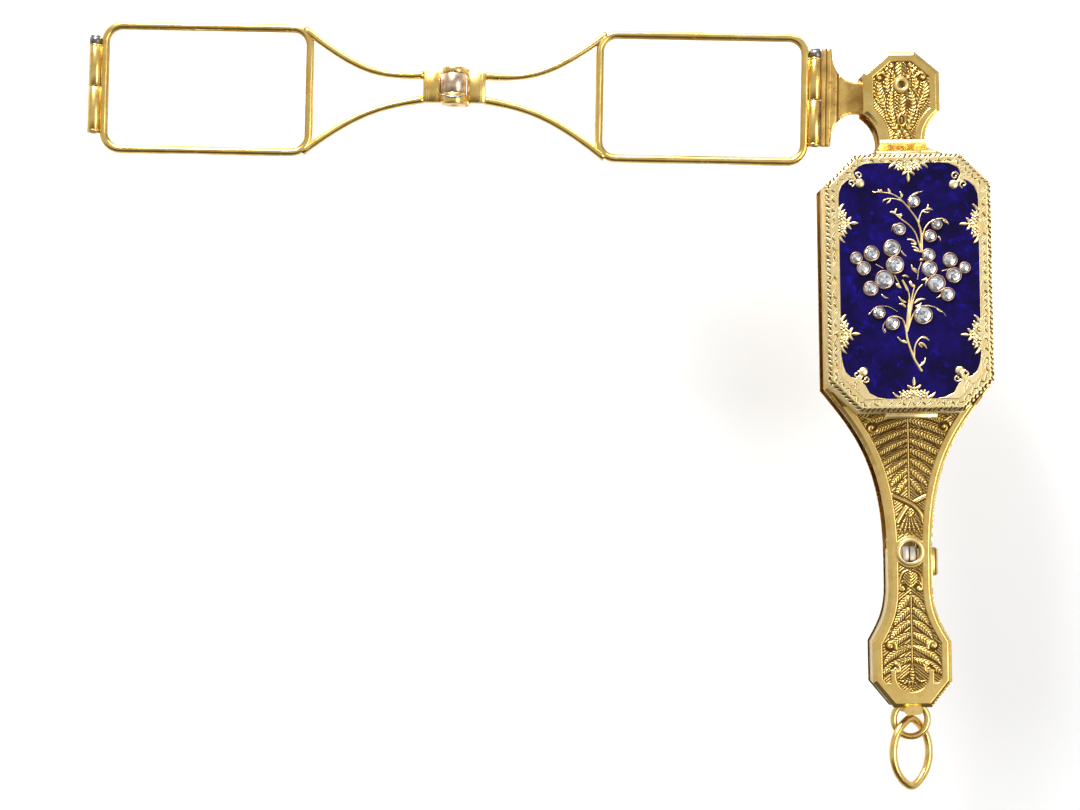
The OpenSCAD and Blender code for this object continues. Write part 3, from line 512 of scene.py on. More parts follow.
    def cells(self, inside):
        """The vertices and squares of the grid that lie wholly inside."""
        whole = inside[:-1, :-1] & inside[1:, :-1] & inside[:-1, 1:] & inside[1:, 1:]
        index = np.arange(inside.size).reshape(inside.shape)
        i, j = np.nonzero(whole)
        quads = np.column_stack([index[i, j], index[i, j + 1], index[i + 1, j + 1], index[i + 1, j]])
        kept = np.unique(quads)
        return kept, np.searchsorted(kept, quads)

    def plate(self, made, inside, y_front, height, wear):
        """Adds the face of a plate, with the vertices near its rim pulled onto the outline."""
        kept, quads = self.cells(inside)
        flat = np.column_stack([self.gx.ravel(), self.gz.ravel()])[kept]
        near = self.edge.ravel()[kept] < self.step * 1.5
        flat[near] = snap_to(flat[near], self.outline)
        y = -(y_front + height.ravel()[kept])
        made.add(np.column_stack([flat[:, 0], y, flat[:, 1]]), quads, wear.ravel()[kept])

    def build(self, y_front, y_back, bevel=(0.55, 0.3), recess=(50.0, 0.1), holes=(), keep=None,
              cover=None):
        """Makes the mesh. bevel is (width, drop); recess is (border width, depth) of the field."""
        height = -bevel[1] * (1 - np.clip(self.edge / bevel[0], 0, 1))
        inner = np.clip((self.edge - recess[0]) / 0.16, 0, 1)
        if keep is not None:
            inner = inner * keep(self.gx, self.gz)
        inner = inner * inner * (3 - 2 * inner)
        art = np.minimum(self.art, recess[1] * 1.05) * (inner > 0.97)
        height = height - inner * recess[1] + inner * art - self.cut
        # Dark patina with painted shade in the recess between the raised work, and dark in the cut lines
        low = inner * np.clip(1.15 - art / (0.62 * recess[1]), 0, 1)
        patina_and_shade = np.clip(low * 0.95 + self.cut / 0.05, 0, 1)
        inside = self.edge > -1e-9
        for hx, hz, hr in holes:
            inside &= np.hypot(self.gx - hx, self.gz - hz) > hr
        if cover is not None:
            inside &= ~cover(self.gx, self.gz)
        made = Build()
        self.plate(made, inside, y_front, height, patina_and_shade)
        wall(made, self.outline, (bevel[1] - y_front, -y_back), 0.25)
        return made


def wall(made, outline, levels, wear=0.0):
    """A side wall along an outline, through the given places on Y."""
    pts = np.vstack([at_depth(outline, y) for y in levels])
    made.add(pts, ring_faces(len(levels), len(outline)), np.full(len(pts), wear))
    return pts


def snap_to(points, outline):
    """The nearest places on the outline."""
    best, out = np.full(len(points), 1e9), np.array(points)
    for a, b in zip(outline, np.roll(outline, -1, 0)):
        d = b - a
        ll = d @ d
        if ll < 1e-12:
            continue
        t = np.clip((points - a) @ d / ll, 0, 1)
        q = a + t[:, None] * d
        dist = np.hypot(*(points - q).T)
        hit = dist < best
        best[hit], out[hit] = dist[hit], q[hit]
    return out


# Handle outlines, as in the CAD source, measured from the pivot
CASE_TOP, CASE_BOTTOM = -10.15, -45.9
SLOT_END, WAIST_Z = -64.3, -70.0
FOOT_TOP, FOOT_LOW, FOOT_END = -77.2, -82.8, -86.3
SLOT_Y, SHELL_Y, BOX_Y, LID_IN_Y, LID_Y = 2.15, 2.85, 6.0, 6.85, 7.4
head_half = np.vstack([
    [(1.9, 4.6), (5.3, 1.7)],
    cubic((5.3, -3.9), (3.9, -4.9), (3.15, -6.2), (3.15, CASE_TOP + 2.2)),
    cubic((3.15, CASE_TOP + 2.2), (3.15, CASE_TOP + 1.1), (3.95, CASE_TOP + 0.25),
          (5.35, CASE_TOP), 8)[1:],
])
neck_half = cubic((11.5, CASE_BOTTOM + 3.6), (6.55, CASE_BOTTOM - 2.6), (3.05, CASE_BOTTOM - 7.1),
                  (3.05, SLOT_END - 1.7), 16)
foot_half = np.vstack([
    cubic((3.05, WAIST_Z + 0.5), (3.05, WAIST_Z - 3.5), (4.35, FOOT_TOP + 2), (5.45, FOOT_TOP), 10),
    [(5.45, FOOT_LOW), (2.6, FOOT_END)],
])
handle_outline = outline_of(np.vstack([
    head_half, [(7.2, CASE_TOP), (11.5, CASE_TOP - 4.3)], neck_half, foot_half]))


def cut_box(half, top, bottom, corner):
    """Outline of an upright box with its four corners cut."""
    return outline_of([(half - corner, top), (half, top - corner), (half, bottom + corner),
                       (half - corner, bottom)])


def inset(outline, d):
    """The outline moved inwards by d."""
    p = np.asarray(outline, float)
    e1 = p - np.roll(p, 1, 0)
    e2 = np.roll(p, -1, 0) - p
    n1 = np.column_stack([e1[:, 1], -e1[:, 0]]) / np.hypot(*e1.T)[:, None]
    n2 = np.column_stack([e2[:, 1], -e2[:, 0]]) / np.hypot(*e2.T)[:, None]
    area = np.sum(p[:, 0] * np.roll(p[:, 1], -1) - np.roll(p[:, 0], -1) * p[:, 1])
    if area > 0:
        n1, n2 = -n1, -n2
    m = n1 + n2
    m /= np.hypot(*m.T)[:, None]
    return p + m * (d / np.sum(m * n1, 1))[:, None]


box_outline = cut_box(11.3, CASE_TOP - 0.2, CASE_BOTTOM + 0.2, 4.3 - 0.2 * (2 - math.sqrt(2)))
ENAMEL_HALF_W, ENAMEL_TOP, ENAMEL_BOTTOM = 9.55, CASE_TOP - 1.4, CASE_BOTTOM + 1.95
ENAMEL_MID, ENAMEL_HALF_H = (ENAMEL_TOP + ENAMEL_BOTTOM) / 2, (ENAMEL_TOP - ENAMEL_BOTTOM) / 2
enamel_outline = cut_box(ENAMEL_HALF_W, ENAMEL_TOP, ENAMEL_BOTTOM, 3.3)

PIVOT_HOLE = (0.0, 0.0, 0.9)
RIVET_R = 0.93
WINDOW = (0.0, SLOT_END - 0.6, 1.45)


def ground(r):
    """Fine slanted lines under the leaves, so that no part of a field is plain."""
    pitch = 0.42
    wave = 0.5 + 0.5 * np.cos(2 * math.pi * (r.gz + 0.8 * np.abs(r.gx)) / pitch)
    r.art = np.maximum(r.art, 0.02 + 0.11 * wave)


HEAD_PITCH = 0.5


def engrave_head(r):
    """Head: fern leaves round the pivot, four curls, a loop and two leaves at the neck."""
    r.plume([(-0.78, 1.0), (-1.9, 3.7)], 1.5, HEAD_PITCH, mirror=True)
    r.plume([(0, 1.0), (0, 3.7)], 1.5, HEAD_PITCH, mirror=True)
    r.plume([(-0.9, 0.9), (-1.6, 1.9), (-2.4, 2.5)], 1.2, HEAD_PITCH, mirror=True)
    r.plume([(0, 0.9), (0, 3.6)], 1.9, HEAD_PITCH, lean=-0.9)
    r.plume([(-1.75, -1.0), (-2.05, 0.3), (-1.6, 1.6)], 1.2, HEAD_PITCH, mirror=True)
    r.plume([(-0.5, -6.6), (-1.5, -5.0), (-2.2, -3.6)], 1.3, HEAD_PITCH, mirror=True)
    r.plume([(-2.2, -3.2), (-3.0, -1.5), (-3.2, -0.3), (-3.0, 0.7)], 1.75, HEAD_PITCH, mirror=True)
    r.plume([(-1.0, -5.3), (-1.55, -3.4), (-1.5, -1.7), (-1.2, -0.6)], 1.25, HEAD_PITCH, mirror=True)
    r.plume([(0, -4.2), (0, -1.0)], 1.75, HEAD_PITCH)
    r.plume([(0.1, -6.1), (-0.55, -6.9), (-1.15, -8.2)], 1.0, HEAD_PITCH, mirror=True)
    r.clear([(-1.35, 2.85)], 1.45, True)
    r.scroll(-1.35, 2.85, 0.66, 100, -1, 1.0, 0.3, 0.23)
    r.clear([(-2.9, 1.05)], 1.55, True)
    r.scroll(-2.9, 1.05, 0.72, 20, -1, 0.95, 0.3, 0.23)
    loop = polar(0, 0, 1, np.linspace(0, 2 * math.pi, 40)) * (0.52, 0.8) + (0, -4.95)
    r.clear([(0, -4.95)], 1.5)
    r.stamp(loop, 0.28, 0.23)
    r.stamp([(0, -4.7), (0, -5.3)], [0.3, 0.2], 0.13)
    # A worn, dented spot beside the middle leaf
    worn = np.exp(-(((r.gx - 0.95) / 0.62) ** 4 + ((r.gz + 2.85) / 0.62) ** 4))
    r.art *= 1 - 0.8 * worn


def engrave_neck(r):
    """Neck under the case: a fern that hangs from the thumb-piece, a crossed ribbon and petals."""
    for k in range(8):
        t = k / 7
        z = CASE_BOTTOM + 0.6 - 9.6 * t
        out = 5.9 * (1 - t) ** 1.1 + 1.75
        drop = 2.9 - 0.7 * t
        r.plume([(0.1, z), (out * 0.45, z - drop * 0.3), (out * 0.85, z - drop * 0.75), (out, z - drop)],
                1.55 - 0.35 * t, lean=1.1, mirror=True)
    r.clear([(0, CASE_BOTTOM), (0, -57.4)], 0.42)
    r.stamp([(0, CASE_BOTTOM), (0, -57.4)], 0.24, 0.2)
    r.clear([(4.95, -47.7)], 1.7, True)
    r.scroll(4.95, -47.7, 0.78, 200, -1, 0.95, 0.36, 0.24)
    r.leaf(6.1, -46.2, 1.6, 200, 0.5, 0.3, 0.2)
    r.plume([(0, -57.6), (0, -60.4)], 1.8, lean=-1.0)
    left = smooth_path([(-2.5, -57.0), (-0.9, -57.75), (0.5, -58.5), (1.5, -59.6), (2.05, -61.0)])
    right = smooth_path([(2.8, -57.0), (1.2, -57.8), (-0.4, -58.8), (-1.7, -60.8)])
    for path in (right, left):
        r.clear(path, 0.95)
        r.stamp(path, 0.66, 0.25)
    for k in range(3):
        r.plume([(0.25 * k, -60.2), (0.75 * k, -62.4)], 0.75, mirror=k > 0)


def engrave_foot(r):
    """Under the window: a palmette between two volutes, then a fern with curls and a round end."""
    z0 = -67.3
    r.plume([(0, z0), (0, z0 - 2.4)], 2.3, lean=-1.0)
    arch = smooth_path([(0.25, z0 - 0.1), (1.1, z0 - 0.5), (1.55, z0 - 1.5), (1.5, z0 - 2.1)])
    r.clear(arch, 0.5, True)
    r.stamp(arch, 0.3, 0.24, True)
    r.clear([(1.1, -69.9)], 1.3, True)
    r.scroll(1.1, -69.9, 0.6, 60, 1, 0.8, 0.36, 0.24)
    for k in range(6):
        t = k / 5
        z = -71.0 - 8.6 * t
        out = 1.75 + 2.6 * t
        r.plume([(0.1, z), (out * 0.5, z - 0.75), (out * 0.85, z - 1.7), (out, z - 2.5)], 1.35,
                lean=1.1, mirror=True)
    r.clear([(0, -71.0), (0, -80.2)], 0.42)
    r.stamp([(0, -71.0), (0, -80.2)], 0.24, 0.2)
    for k in range(-3, 4):
        r.plume([(0, -81.6), (0.35 * k, -82.7), (0.66 * k, -83.6 + 0.12 * k * k)], 0.7)
    r.clear([(2.95, -77.9)], 1.7, True)
    r.scroll(2.95, -77.9, 0.8, 200, 1, 0.85, 0.5, 0.24)
    r.clear([(2.3, -81.1)], 1.5, True)
    r.scroll(2.3, -81.1, 0.75, 100, -1, 0.85, 0.46, 0.24)
    r.plume([(0, -80.4), (0, -83.3)], 0.9, lean=-1.0)


def field_of_front(x, z):
    """Where the front plate is engraved: the head and the neck below the case."""
    head = np.clip((z + 8.0) / 0.25, 0, 1) * np.clip((4.0 - np.abs(x)) / 0.14, 0, 1)
    lower = np.clip((CASE_BOTTOM + 0.2 - z) / 0.2, 0, 1)
    ring = np.clip((np.hypot(x, z - WINDOW[1]) - 2.15) / 0.16, 0, 1)
    eye = np.clip((np.hypot(x, z) - 1.05) / 0.16, 0, 1)
    # The field ends in a round at the foot, with a small field on each side of it
    round_end = np.clip((2.35 - np.hypot(x, z + 81.9)) / 0.14, 0, 1)
    beside = np.clip((np.abs(x) - 2.9) / 0.14, 0, 1) * np.clip((z + 83.0) / 0.14, 0, 1)
    foot = np.maximum(np.clip((z + 81.2) / 0.14, 0, 1), np.maximum(round_end, beside))
    return np.maximum(head, lower) * ring * eye * foot


def front_plate():
    """The engraved front of the handle; the case covers its middle."""
    r = Relief(handle_outline, 0.07)
    ground(r)
    engrave_head(r)
    engrave_neck(r)
    engrave_foot(r)
    # Two fine lines on the border beside the head's upper corners
    for d in (0.62, 0.8):
        for side in (-1, 1):
            line = [(side * (2.3 - d * 0.4), 4.6 - d * 1.1), (side * (5.0 - d), 2.05 - d * 0.6)]
            r.engrave(line, 0.09, 0.035)

    def under_case(x, z):
        """Covered by the case, so not drawn."""
        return (np.abs(x) < 10.4) & (z < CASE_TOP - 1.2) & (z > CASE_BOTTOM + 1.2)

    made = r.build(SHELL_Y, SLOT_Y, recess=(1.3, 0.24), holes=[PIVOT_HOLE, WINDOW], keep=field_of_front,
                   cover=under_case)
    made.make("front_plate", GOLD, "handle", row, "gold", replaces=["front_shell"])


front_plate()


def back_plate():
    """The back: plain, with a double line cut along its edge."""
    r = Relief(handle_outline, 0.12)
    for d, width in ((1.2, 0.13), (1.65, 0.08)):
        r.cut = np.maximum(r.cut, 0.06 * np.exp(-(((r.edge - d) / width) ** 2)))
    made = r.build(SHELL_Y, SLOT_Y, holes=[(0.0, 0.0, RIVET_R)])
    made.make("back_plate", GOLD, "handle", lambda p: row(p * (1, -1, 1)), "gold",
              replaces=["back_shell"])


back_plate()


# Lid: engraved border, gold overlay on the enamel, set stones and the skirt
LID_MID = (CASE_TOP + CASE_BOTTOM) / 2
STONES = [
    (0.7, 11.1, 0.8), (3.8, 7.9, 0.7), (2.9, 6.3, 0.8), (-1.3, 7.3, 0.8), (-2.4, 4.7, 1.1),
    (-2, 2.4, 1.15), (-5.2, 4, 1), (-7.3, 3.4, 0.8), (-6.3, 2, 0.9), (-3.5, 0.4, 1.2),
    (-5.4, -0.8, 0.95), (2.6, 3.7, 0.85), (2.7, 1.8, 1), (3.6, -0.2, 1.15), (5.1, -1.7, 0.9),
    (5.5, 3, 0.95), (7.5, 1.9, 0.75), (6, 0.9, 1), (-4.3, -4.1, 0.8), (-2.5, -5.6, 0.9),
    (1.7, -4.5, 1.2),
]


def along(outline, count):
    """Evenly spaced places on a closed outline with the direction there, in degrees."""
    closed = np.vstack([outline, outline[:1]])
    gap = np.hypot(*np.diff(closed, axis=0).T)
    total = np.r_[0, np.cumsum(gap)]
    at = (np.arange(count) + 0.5) / count * total[-1]
    x, z = (np.interp(at, total, closed[:, k]) for k in (0, 1))
    seg = np.clip(np.searchsorted(total, at) - 1, 0, len(gap) - 1)
    d = np.diff(closed, axis=0)[seg]
    return np.column_stack([x, z]), np.degrees(np.arctan2(d[:, 1], d[:, 0]))


def lid_border():
    """The lid's front: a slanted edge with dark dashes and a flat border cut with small leaves."""
    r = Relief(box_outline, 0.065)
    for d, count, length, lean in ((0.27, 150, 0.42, 42), (1.02, 150, 0.5, 40)):
        places, turns = along(inset(box_outline, d), count)
        for k, ((x, z), turn) in enumerate(zip(places, turns)):
            if d > 1 and rng.random() < 0.18:
                continue
            a = math.radians(turn + (lean if d < 1 or k % 2 else -lean) + rng.normal(0, 8))
            half = length * (0.8 + 0.4 * rng.random()) / 2
            x, z = x + rng.normal(0, 0.03), z + rng.normal(0, 0.03)
            bow = 0.07 * rng.normal()
            dx, dz = half * math.cos(a), half * math.sin(a)
            r.engrave([(x - dx, z - dz), (x + bow, z + bow), (x + dx, z + dz)],
                      (0.2 if d < 1 else 0.14) + 0.05 * rng.random(), 0.1)
    for d, count in ((1.42, 190), (0.72, 120)):
        places, _ = along(inset(box_outline, d), count)
        for x, z in places + rng.normal(0, 0.06, places.shape):
            if rng.random() < 0.6:
                r.speck(x, z, 0.1, 0.13, 0.07)
    for d in (0.52, 1.68):
        ring = inset(box_outline, d)
        r.engrave(np.vstack([ring, ring[:1]]), 0.1, 0.04)
    opening = inset(enamel_outline, 0.05)
    made = r.build(LID_Y, LID_IN_Y, bevel=(0.5, 0.28), cover=lambda x, z: edge_distance(
        np.column_stack([x.ravel(), z.ravel()]), opening).reshape(x.shape) > 0)
    # Skirt with its band of slanted dashes, the closed back of the lid plate and its knuckle
    skirt(made, box_outline, BOX_Y, LID_IN_Y, 150)
    inner = inset(box_outline, 0.5)
    inside = wall(made, inner, (-LID_IN_Y + 0.02, -BOX_Y))
    made.add(inside[: len(inner)], [tuple(range(len(inner)))])
    outer = at_depth(box_outline, -BOX_Y)
    made.add(np.vstack([outer, inside[len(inner):]]), ring_faces(2, len(inner)))
    rod(made, (0, -BOX_Y, CASE_TOP), "x", 0.45, -1.97, 1.97)
    made.make("lid_border", PALE, "lid", row, "lid_gold", replaces=["lid_frame"])


def skirt(made, outline, y0, y1, dashes):
    """A side wall that follows the outline, engraved with slanted dashes."""
    closed = np.vstack([outline, outline[:1]])
    gap = np.hypot(*np.diff(closed, axis=0).T)
    total = np.r_[0, np.cumsum(gap)]
    count = int(total[-1] / 0.09)
    at = np.sort(np.r_[np.linspace(0, total[-1], count, endpoint=False), total[1:-1]])
    x, z = (np.interp(at, total, closed[:, k]) for k in (0, 1))
    cx, cz = x.mean(), z.mean()
    levels = np.linspace(y0, y1, 13)
    pitch = total[-1] / dashes
    rows_, wear = [], []
    for y in levels:
        t = (y - y0) / (y1 - y0)
        phase = ((at / pitch + 0.55 * t) % 1.0)
        cut = np.clip(1 - np.abs(phase - 0.5) / 0.16, 0, 1) * np.clip(4 * min(t - 0.16, 0.84 - t), 0, 1)
        lip = 0.03 if t < 0.1 or t > 0.9 else 0.0
        depth = lip - 0.07 * cut - 0.02
        out = depth / np.hypot(x - cx, z - cz)
        rows_.append(np.column_stack([x + out * (x - cx), np.full(len(x), -y), z + out * (z - cz)]))
        wear.append(np.clip(cut * 1.1, 0, 1) * 0.9)
    made.add(np.vstack(rows_), ring_faces(len(levels), len(at)), np.concatenate(wear))


def rod(made, centre, axis, radius, start, end, chamfer=0.05, sides=28, wear=0.0, bore=0.0):
    """A rod along x, y or z with a small chamfer at each end; start and end are along the axis."""
    a = np.linspace(0, 2 * math.pi, sides, endpoint=False)

    def ring(r_, h):
        u, v, w = r_ * np.cos(a), r_ * np.sin(a), np.full(sides, h)
        return np.column_stack({"x": (w, u, v), "y": (u, w, v), "z": (u, v, w)}[axis])

    levels = ((radius - chamfer, start), (radius, start + chamfer), (radius, end - chamfer),
              (radius - chamfer, end))
    rings = [ring(*level) for level in levels]
    faces = ring_faces(4, sides)
    if bore:
        rings += [ring(bore, start), ring(bore, end)]
        for p, q in ((4, 0), (3, 5), (5, 4)):
            for j in range(sides):
                k = (j + 1) % sides
                faces.append((p * sides + j, p * sides + k, q * sides + k, q * sides + j))
    else:
        faces += [tuple(range(sides))[::-1], tuple(range(3 * sides, 4 * sides))]
    made.add(np.vstack(rings) + np.asarray(centre, float), faces, np.full(len(rings) * sides, wear))


# Inner edge of a corner's gold, measured in from the enamel's two sides, then its balls and curls
CORNERS = {
    1: ([(0, 4.7), (0.08, 3.98), (0.46, 3.07), (1.2, 2.4), (1.7, 2.2), (2.3, 2.5), (2.6, 2.4), (2.35, 1.9),
         (2.15, 1.5), (2.13, 1.3), (2.5, 0.64), (3.57, 0.18), (4.8, 0)],
        (2.96, 2.77), (1.75, 2.77), (2.8, 1.72)),
    -1: ([(0, 6.0), (0.23, 4.7), (0.6, 3.7), (1.3, 3.05), (1.9, 2.9), (2.5, 3.2), (2.9, 3.2), (2.7, 2.7),
          (2.9, 2.2), (3.2, 1.93), (3.8, 0.8), (5.0, 0.18), (6.2, 0)],
         (2.96, 3.75), (2.05, 3.42), (3.34, 2.72)),
}


def spandrel(r, sx, sz):
    """Gold that fills a corner of the enamel, with two volutes and a ball on its inner edge."""
    edge, middle, first, second = CORNERS[sz]
    grow = 1.12 if sx > 0 and sz > 0 else 1.0

    def at(u, v):
        return sx * (ENAMEL_HALF_W - u * grow), ENAMEL_MID + sz * (ENAMEL_HALF_H - v * grow)

    r.fill(np.array([at(-0.3, -0.3)] + [at(*p) for p in edge]), 0.17)
    for u, v in np.column_stack([rng.uniform(0.1, 2.4, 46), rng.uniform(0.1, 2.4, 46)]):
        r.speck(*at(u, v), 0.16, 0.12, 0.08)
    r.stamp([at(*middle)], [1.28], 0.3)
    r.stamp([at(*middle), at((first[0] + second[0]) / 2, (first[1] + second[1]) / 2)], [0.5, 0.4], 0.18)
    for (u, v), start, hand in ((first, 205, 1), (second, 65, -1)):
        # Each curl leaves the gold's edge and turns in towards the ball
        a = np.radians(start + hand * np.linspace(0, 330, 36))
        rad = 0.46 - 0.3 * np.linspace(0, 1, 36) ** 1.3
        path = [at(u - rr * math.sin(k), v - rr * math.cos(k)) for rr, k in zip(rad, a)]
        r.stamp(path, np.linspace(0.26, 0.2, 36), 0.2)
        r.stamp([path[-1]], [0.34], 0.22)


def bracket(r, x, z, turn, grow=1.0):
    """A spray of blossoms that grows from the border; turn is the way it points."""
    a = math.radians(turn)
    ux, uz = math.cos(a), math.sin(a)

    def at(out, side):
        out, side = out * grow, side * grow
        return x + out * ux - side * uz, z + out * uz + side * ux

    base = [(-0.6, -2.35), (0.1, -2.1), (0.45, -1.6), (0.75, -0.9), (1.15, 0), (0.75, 0.9), (0.45, 1.6),
            (0.1, 2.1), (-0.6, 2.35)]
    r.fill(np.array([at(*p) for p in base]), 0.13)
    for side in (-1, 1):
        px, pz = at(0.5, 0.87 * side)
        r.flower(px, pz, 0.66 * grow, 6, 0.25, 0.4)
        r.engrave([(px, pz), (px + 0.05, pz)], 0.2, 0.09)
        for k in range(6):
            b = 2 * math.pi * (k + 0.5) / 6 + 0.4
            r.engrave([(px + 0.25 * math.cos(b), pz + 0.25 * math.sin(b)),
                       (px + 0.5 * math.cos(b), pz + 0.5 * math.sin(b))], 0.1, 0.09)
        r.blade(*at(0.1, 1.7 * side), *at(0.82, 2.68 * side), 0.46, 0.22, 0.1 * side)
        r.blade(*at(0.3, 1.5 * side), *at(0.95, 1.95 * side), 0.3, 0.2, -0.1 * side)
        r.blade(*at(1.3, 0.12 * side), *at(1.75, 0.85 * side), 0.44, 0.22, 0.12 * side)
        for out, s in ((1.02, 0.42), (0.62, 1.5), (1.0, 1.35)):
            r.stamp([at(out, s * side)], [0.36], 0.22)
    r.stamp([at(0.9, 0), at(1.9, 0)], [0.22, 0.22], 0.2)
    r.blade(*at(1.65, 0), *at(2.7, 0), 0.52, 0.24, 0.0)
    r.stamp([at(0.75, 0)], [0.5], 0.22)
    for s, out in zip(rng.uniform(-2.0, 2.0, 30), rng.uniform(-0.1, 0.6, 30)):
        r.speck(*at(out * (1 - abs(s) / 3), s), 0.1, 0.13, 0.1)


STEMS = [
    # Places along each stem, then its width at the start and at the end
    ([(1.32, -40.11), (0.89, -39.36), (0.39, -38.46), (-0.25, -36.67), (-0.59, -35.02),
      (-0.49, -33.68), (-0.3, -31.45), (-0.12, -29.96), (-0.39, -28.76), (-0.97, -27.7)], 0.44, 0.18),
    ([(-1.04, -27.8), (-0.4, -29.15)], 0.16, 0.18),
    ([(-0.42, -34.28), (-0.16, -32.04), (0.25, -29.96), (0.65, -28.47)], 0.3, 0.18),
    ([(-0.35, -34.13), (-0.01, -32.2), (0.47, -30.26), (1.01, -29.08), (1.7, -28.34)], 0.26, 0.15),
    ([(1.64, -23.88), (1.67, -21.86), (1.51, -20.51), (1.05, -19.31), (0.33, -18.25), (-0.4, -17.34),
      (-1.27, -16.43), (-2.16, -15.9), (-3.05, -15.69), (-4.83, -15.51)], 0.34, 0.16),
    ([(-0.1, -17.57), (-0.98, -16.86), (-1.72, -16.58), (-2.47, -16.49), (-3.06, -16.59),
      (-3.52, -16.93)], 0.2, 0.14),
    ([(1.71, -23.95), (1.32, -22.6), (0.87, -21.25), (0.07, -20.19), (-0.88, -19.43), (-1.69, -18.75),
      (-1.9, -18.22)], 0.24, 0.18),
    ([(1.78, -23.88), (1.78, -22.46), (1.99, -21.12), (2.53, -20.15), (3.43, -19.49), (4.48, -19.33),
      (5.14, -19.59), (5.43, -20.12)], 0.26, 0.13),
    ([(1.36, -20.36), (1.47, -19.17), (1.89, -18.27), (2.34, -18.05)], 0.22, 0.16),
    ([(0.12, -17.72), (0.03, -16.9), (0.29, -16.3), (0.82, -15.83), (1.95, -15.55)], 0.2, 0.12),
    ([(-2.37, -20.91), (-2.24, -20.39), (-1.79, -20.02), (-1.04, -19.91)], 0.1, 0.18),
    ([(1.61, -25.3), (1.22, -26.34), (1.04, -27.68)], 0.14, 0.12),
    ([(-4.57, -25.51), (-3.61, -26.05)], 0.18, 0.12),
    ([(4.41, -26.53), (5.31, -26.25)], 0.12, 0.18),
    ([(-2.07, -27.04), (-1.21, -28.77)], 0.2, 0.14),
    ([(-0.66, -34.72), (-0.93, -33.38), (-1.44, -32.85), (-2.18, -32.66), (-2.92, -32.83),
      (-3.53, -33.49), (-3.81, -34.23), (-3.63, -34.98)], 0.24, 0.1),
    ([(-1.79, -32.02), (-2.75, -31.41), (-3.79, -31.22), (-4.83, -31.46), (-5.74, -32.42)], 0.12, 0.12),
    ([(-0.46, -34.72), (0.2, -32.8), (0.96, -31.61), (2.16, -31.25), (3.35, -31.49), (4.37, -32.11),
      (4.88, -32.78)], 0.26, 0.1),
    ([(0.41, -38.61), (0.49, -36.97), (0.88, -36.08), (1.48, -35.57), (2.08, -35.65),
      (2.44, -36.03)], 0.26, 0.14),
]
LEAVES = [
    # Foot and tip of each leaf, and its width
    (-3.94, -15.62, -4.2, -15.19, 0.26), (-3.46, -15.68, -3.71, -15.17, 0.28),
    (-2.57, -15.85, -2.8, -15.12, 0.38), (-4.39, -15.55, -4.86, -15.54, 0.24),
    (-0.95, -16.47, -1.17, -15.48, 0.3), (-0.95, -16.44, -0.64, -15.9, 0.26),
    (-3.06, -16.59, -3.55, -16.97, 0.22), (-2.44, -16.54, -3.05, -17.19, 0.28),
    (-1.91, -18.58, -2.59, -18.36, 0.36), (-1.83, -18.52, -1.57, -17.84, 0.3),
    (-1.62, -18.79, -0.93, -18.53, 0.3), (-1.18, -19.1, -0.78, -18.75, 0.26),
    (2.34, -18.1, 2.67, -17.24, 0.26), (2.34, -18.07, 3.34, -18.17, 0.34),
    (1.97, -18.3, 2.89, -18.38, 0.26), (0.44, -16.23, 1.39, -15.84, 0.3),
    (4.7, -19.51, 5.39, -19.94, 0.26), (3.96, -21.71, 4.27, -22.52, 0.22),
    (0.96, -22.72, -0.31, -22.13, 0.36), (1.06, -22.78, 0.22, -22.62, 0.26),
    (1.38, -23.92, 0.33, -23.1, 0.36), (1.35, -23.8, 0.56, -23.46, 0.24),
    (-1.08, -23.65, -0.35, -24.41, 0.24), (-1.06, -27.17, -0.11, -27.37, 0.32),
    (-1.91, -28.12, -1.18, -28.82, 0.26), (1.0, -26.75, 0.25, -25.52, 0.3),
    (1.06, -26.56, 0.36, -26.06, 0.2), (0.69, -28.75, -0.09, -27.85, 0.32),
    (1.91, -24.97, 1.33, -25.03, 0.3), (2.39, -27.37, 1.55, -27.72, 0.28),
    (2.56, -27.55, 2.15, -28.62, 0.26), (-0.54, -30.77, -1.56, -29.94, 0.32),
    (-0.64, -31.44, -1.55, -30.95, 0.36), (0.5, -30.95, 2.06, -30.34, 0.34),
    (0.64, -31.34, 1.55, -30.81, 0.3), (0.67, -28.5, 0.06, -27.78, 0.28),
    (-5.44, -32.12, -5.77, -32.51, 0.2), (-3.62, -34.38, -3.53, -35.01, 0.24),
    (3.64, -31.68, 4.4, -32.14, 0.24), (-0.49, -36.33, -1.81, -35.45, 0.34),
    (-0.58, -36.24, -1.35, -36.08, 0.24), (1.14, -36.31, 2.13, -37.17, 0.36),
    (1.05, -36.41, 1.63, -36.93, 0.26), (1.51, -35.59, 2.48, -36.08, 0.32),
    (1.05, -39.54, 1.93, -38.3, 0.34), (1.29, -39.34, 1.68, -38.98, 0.24),
    (-3.9, -29.58, -2.96, -30.16, 0.26), (4.31, -29.54, 3.49, -30.24, 0.26),
    (-1.68, -28.14, -1.18, -28.78, 0.26),
]


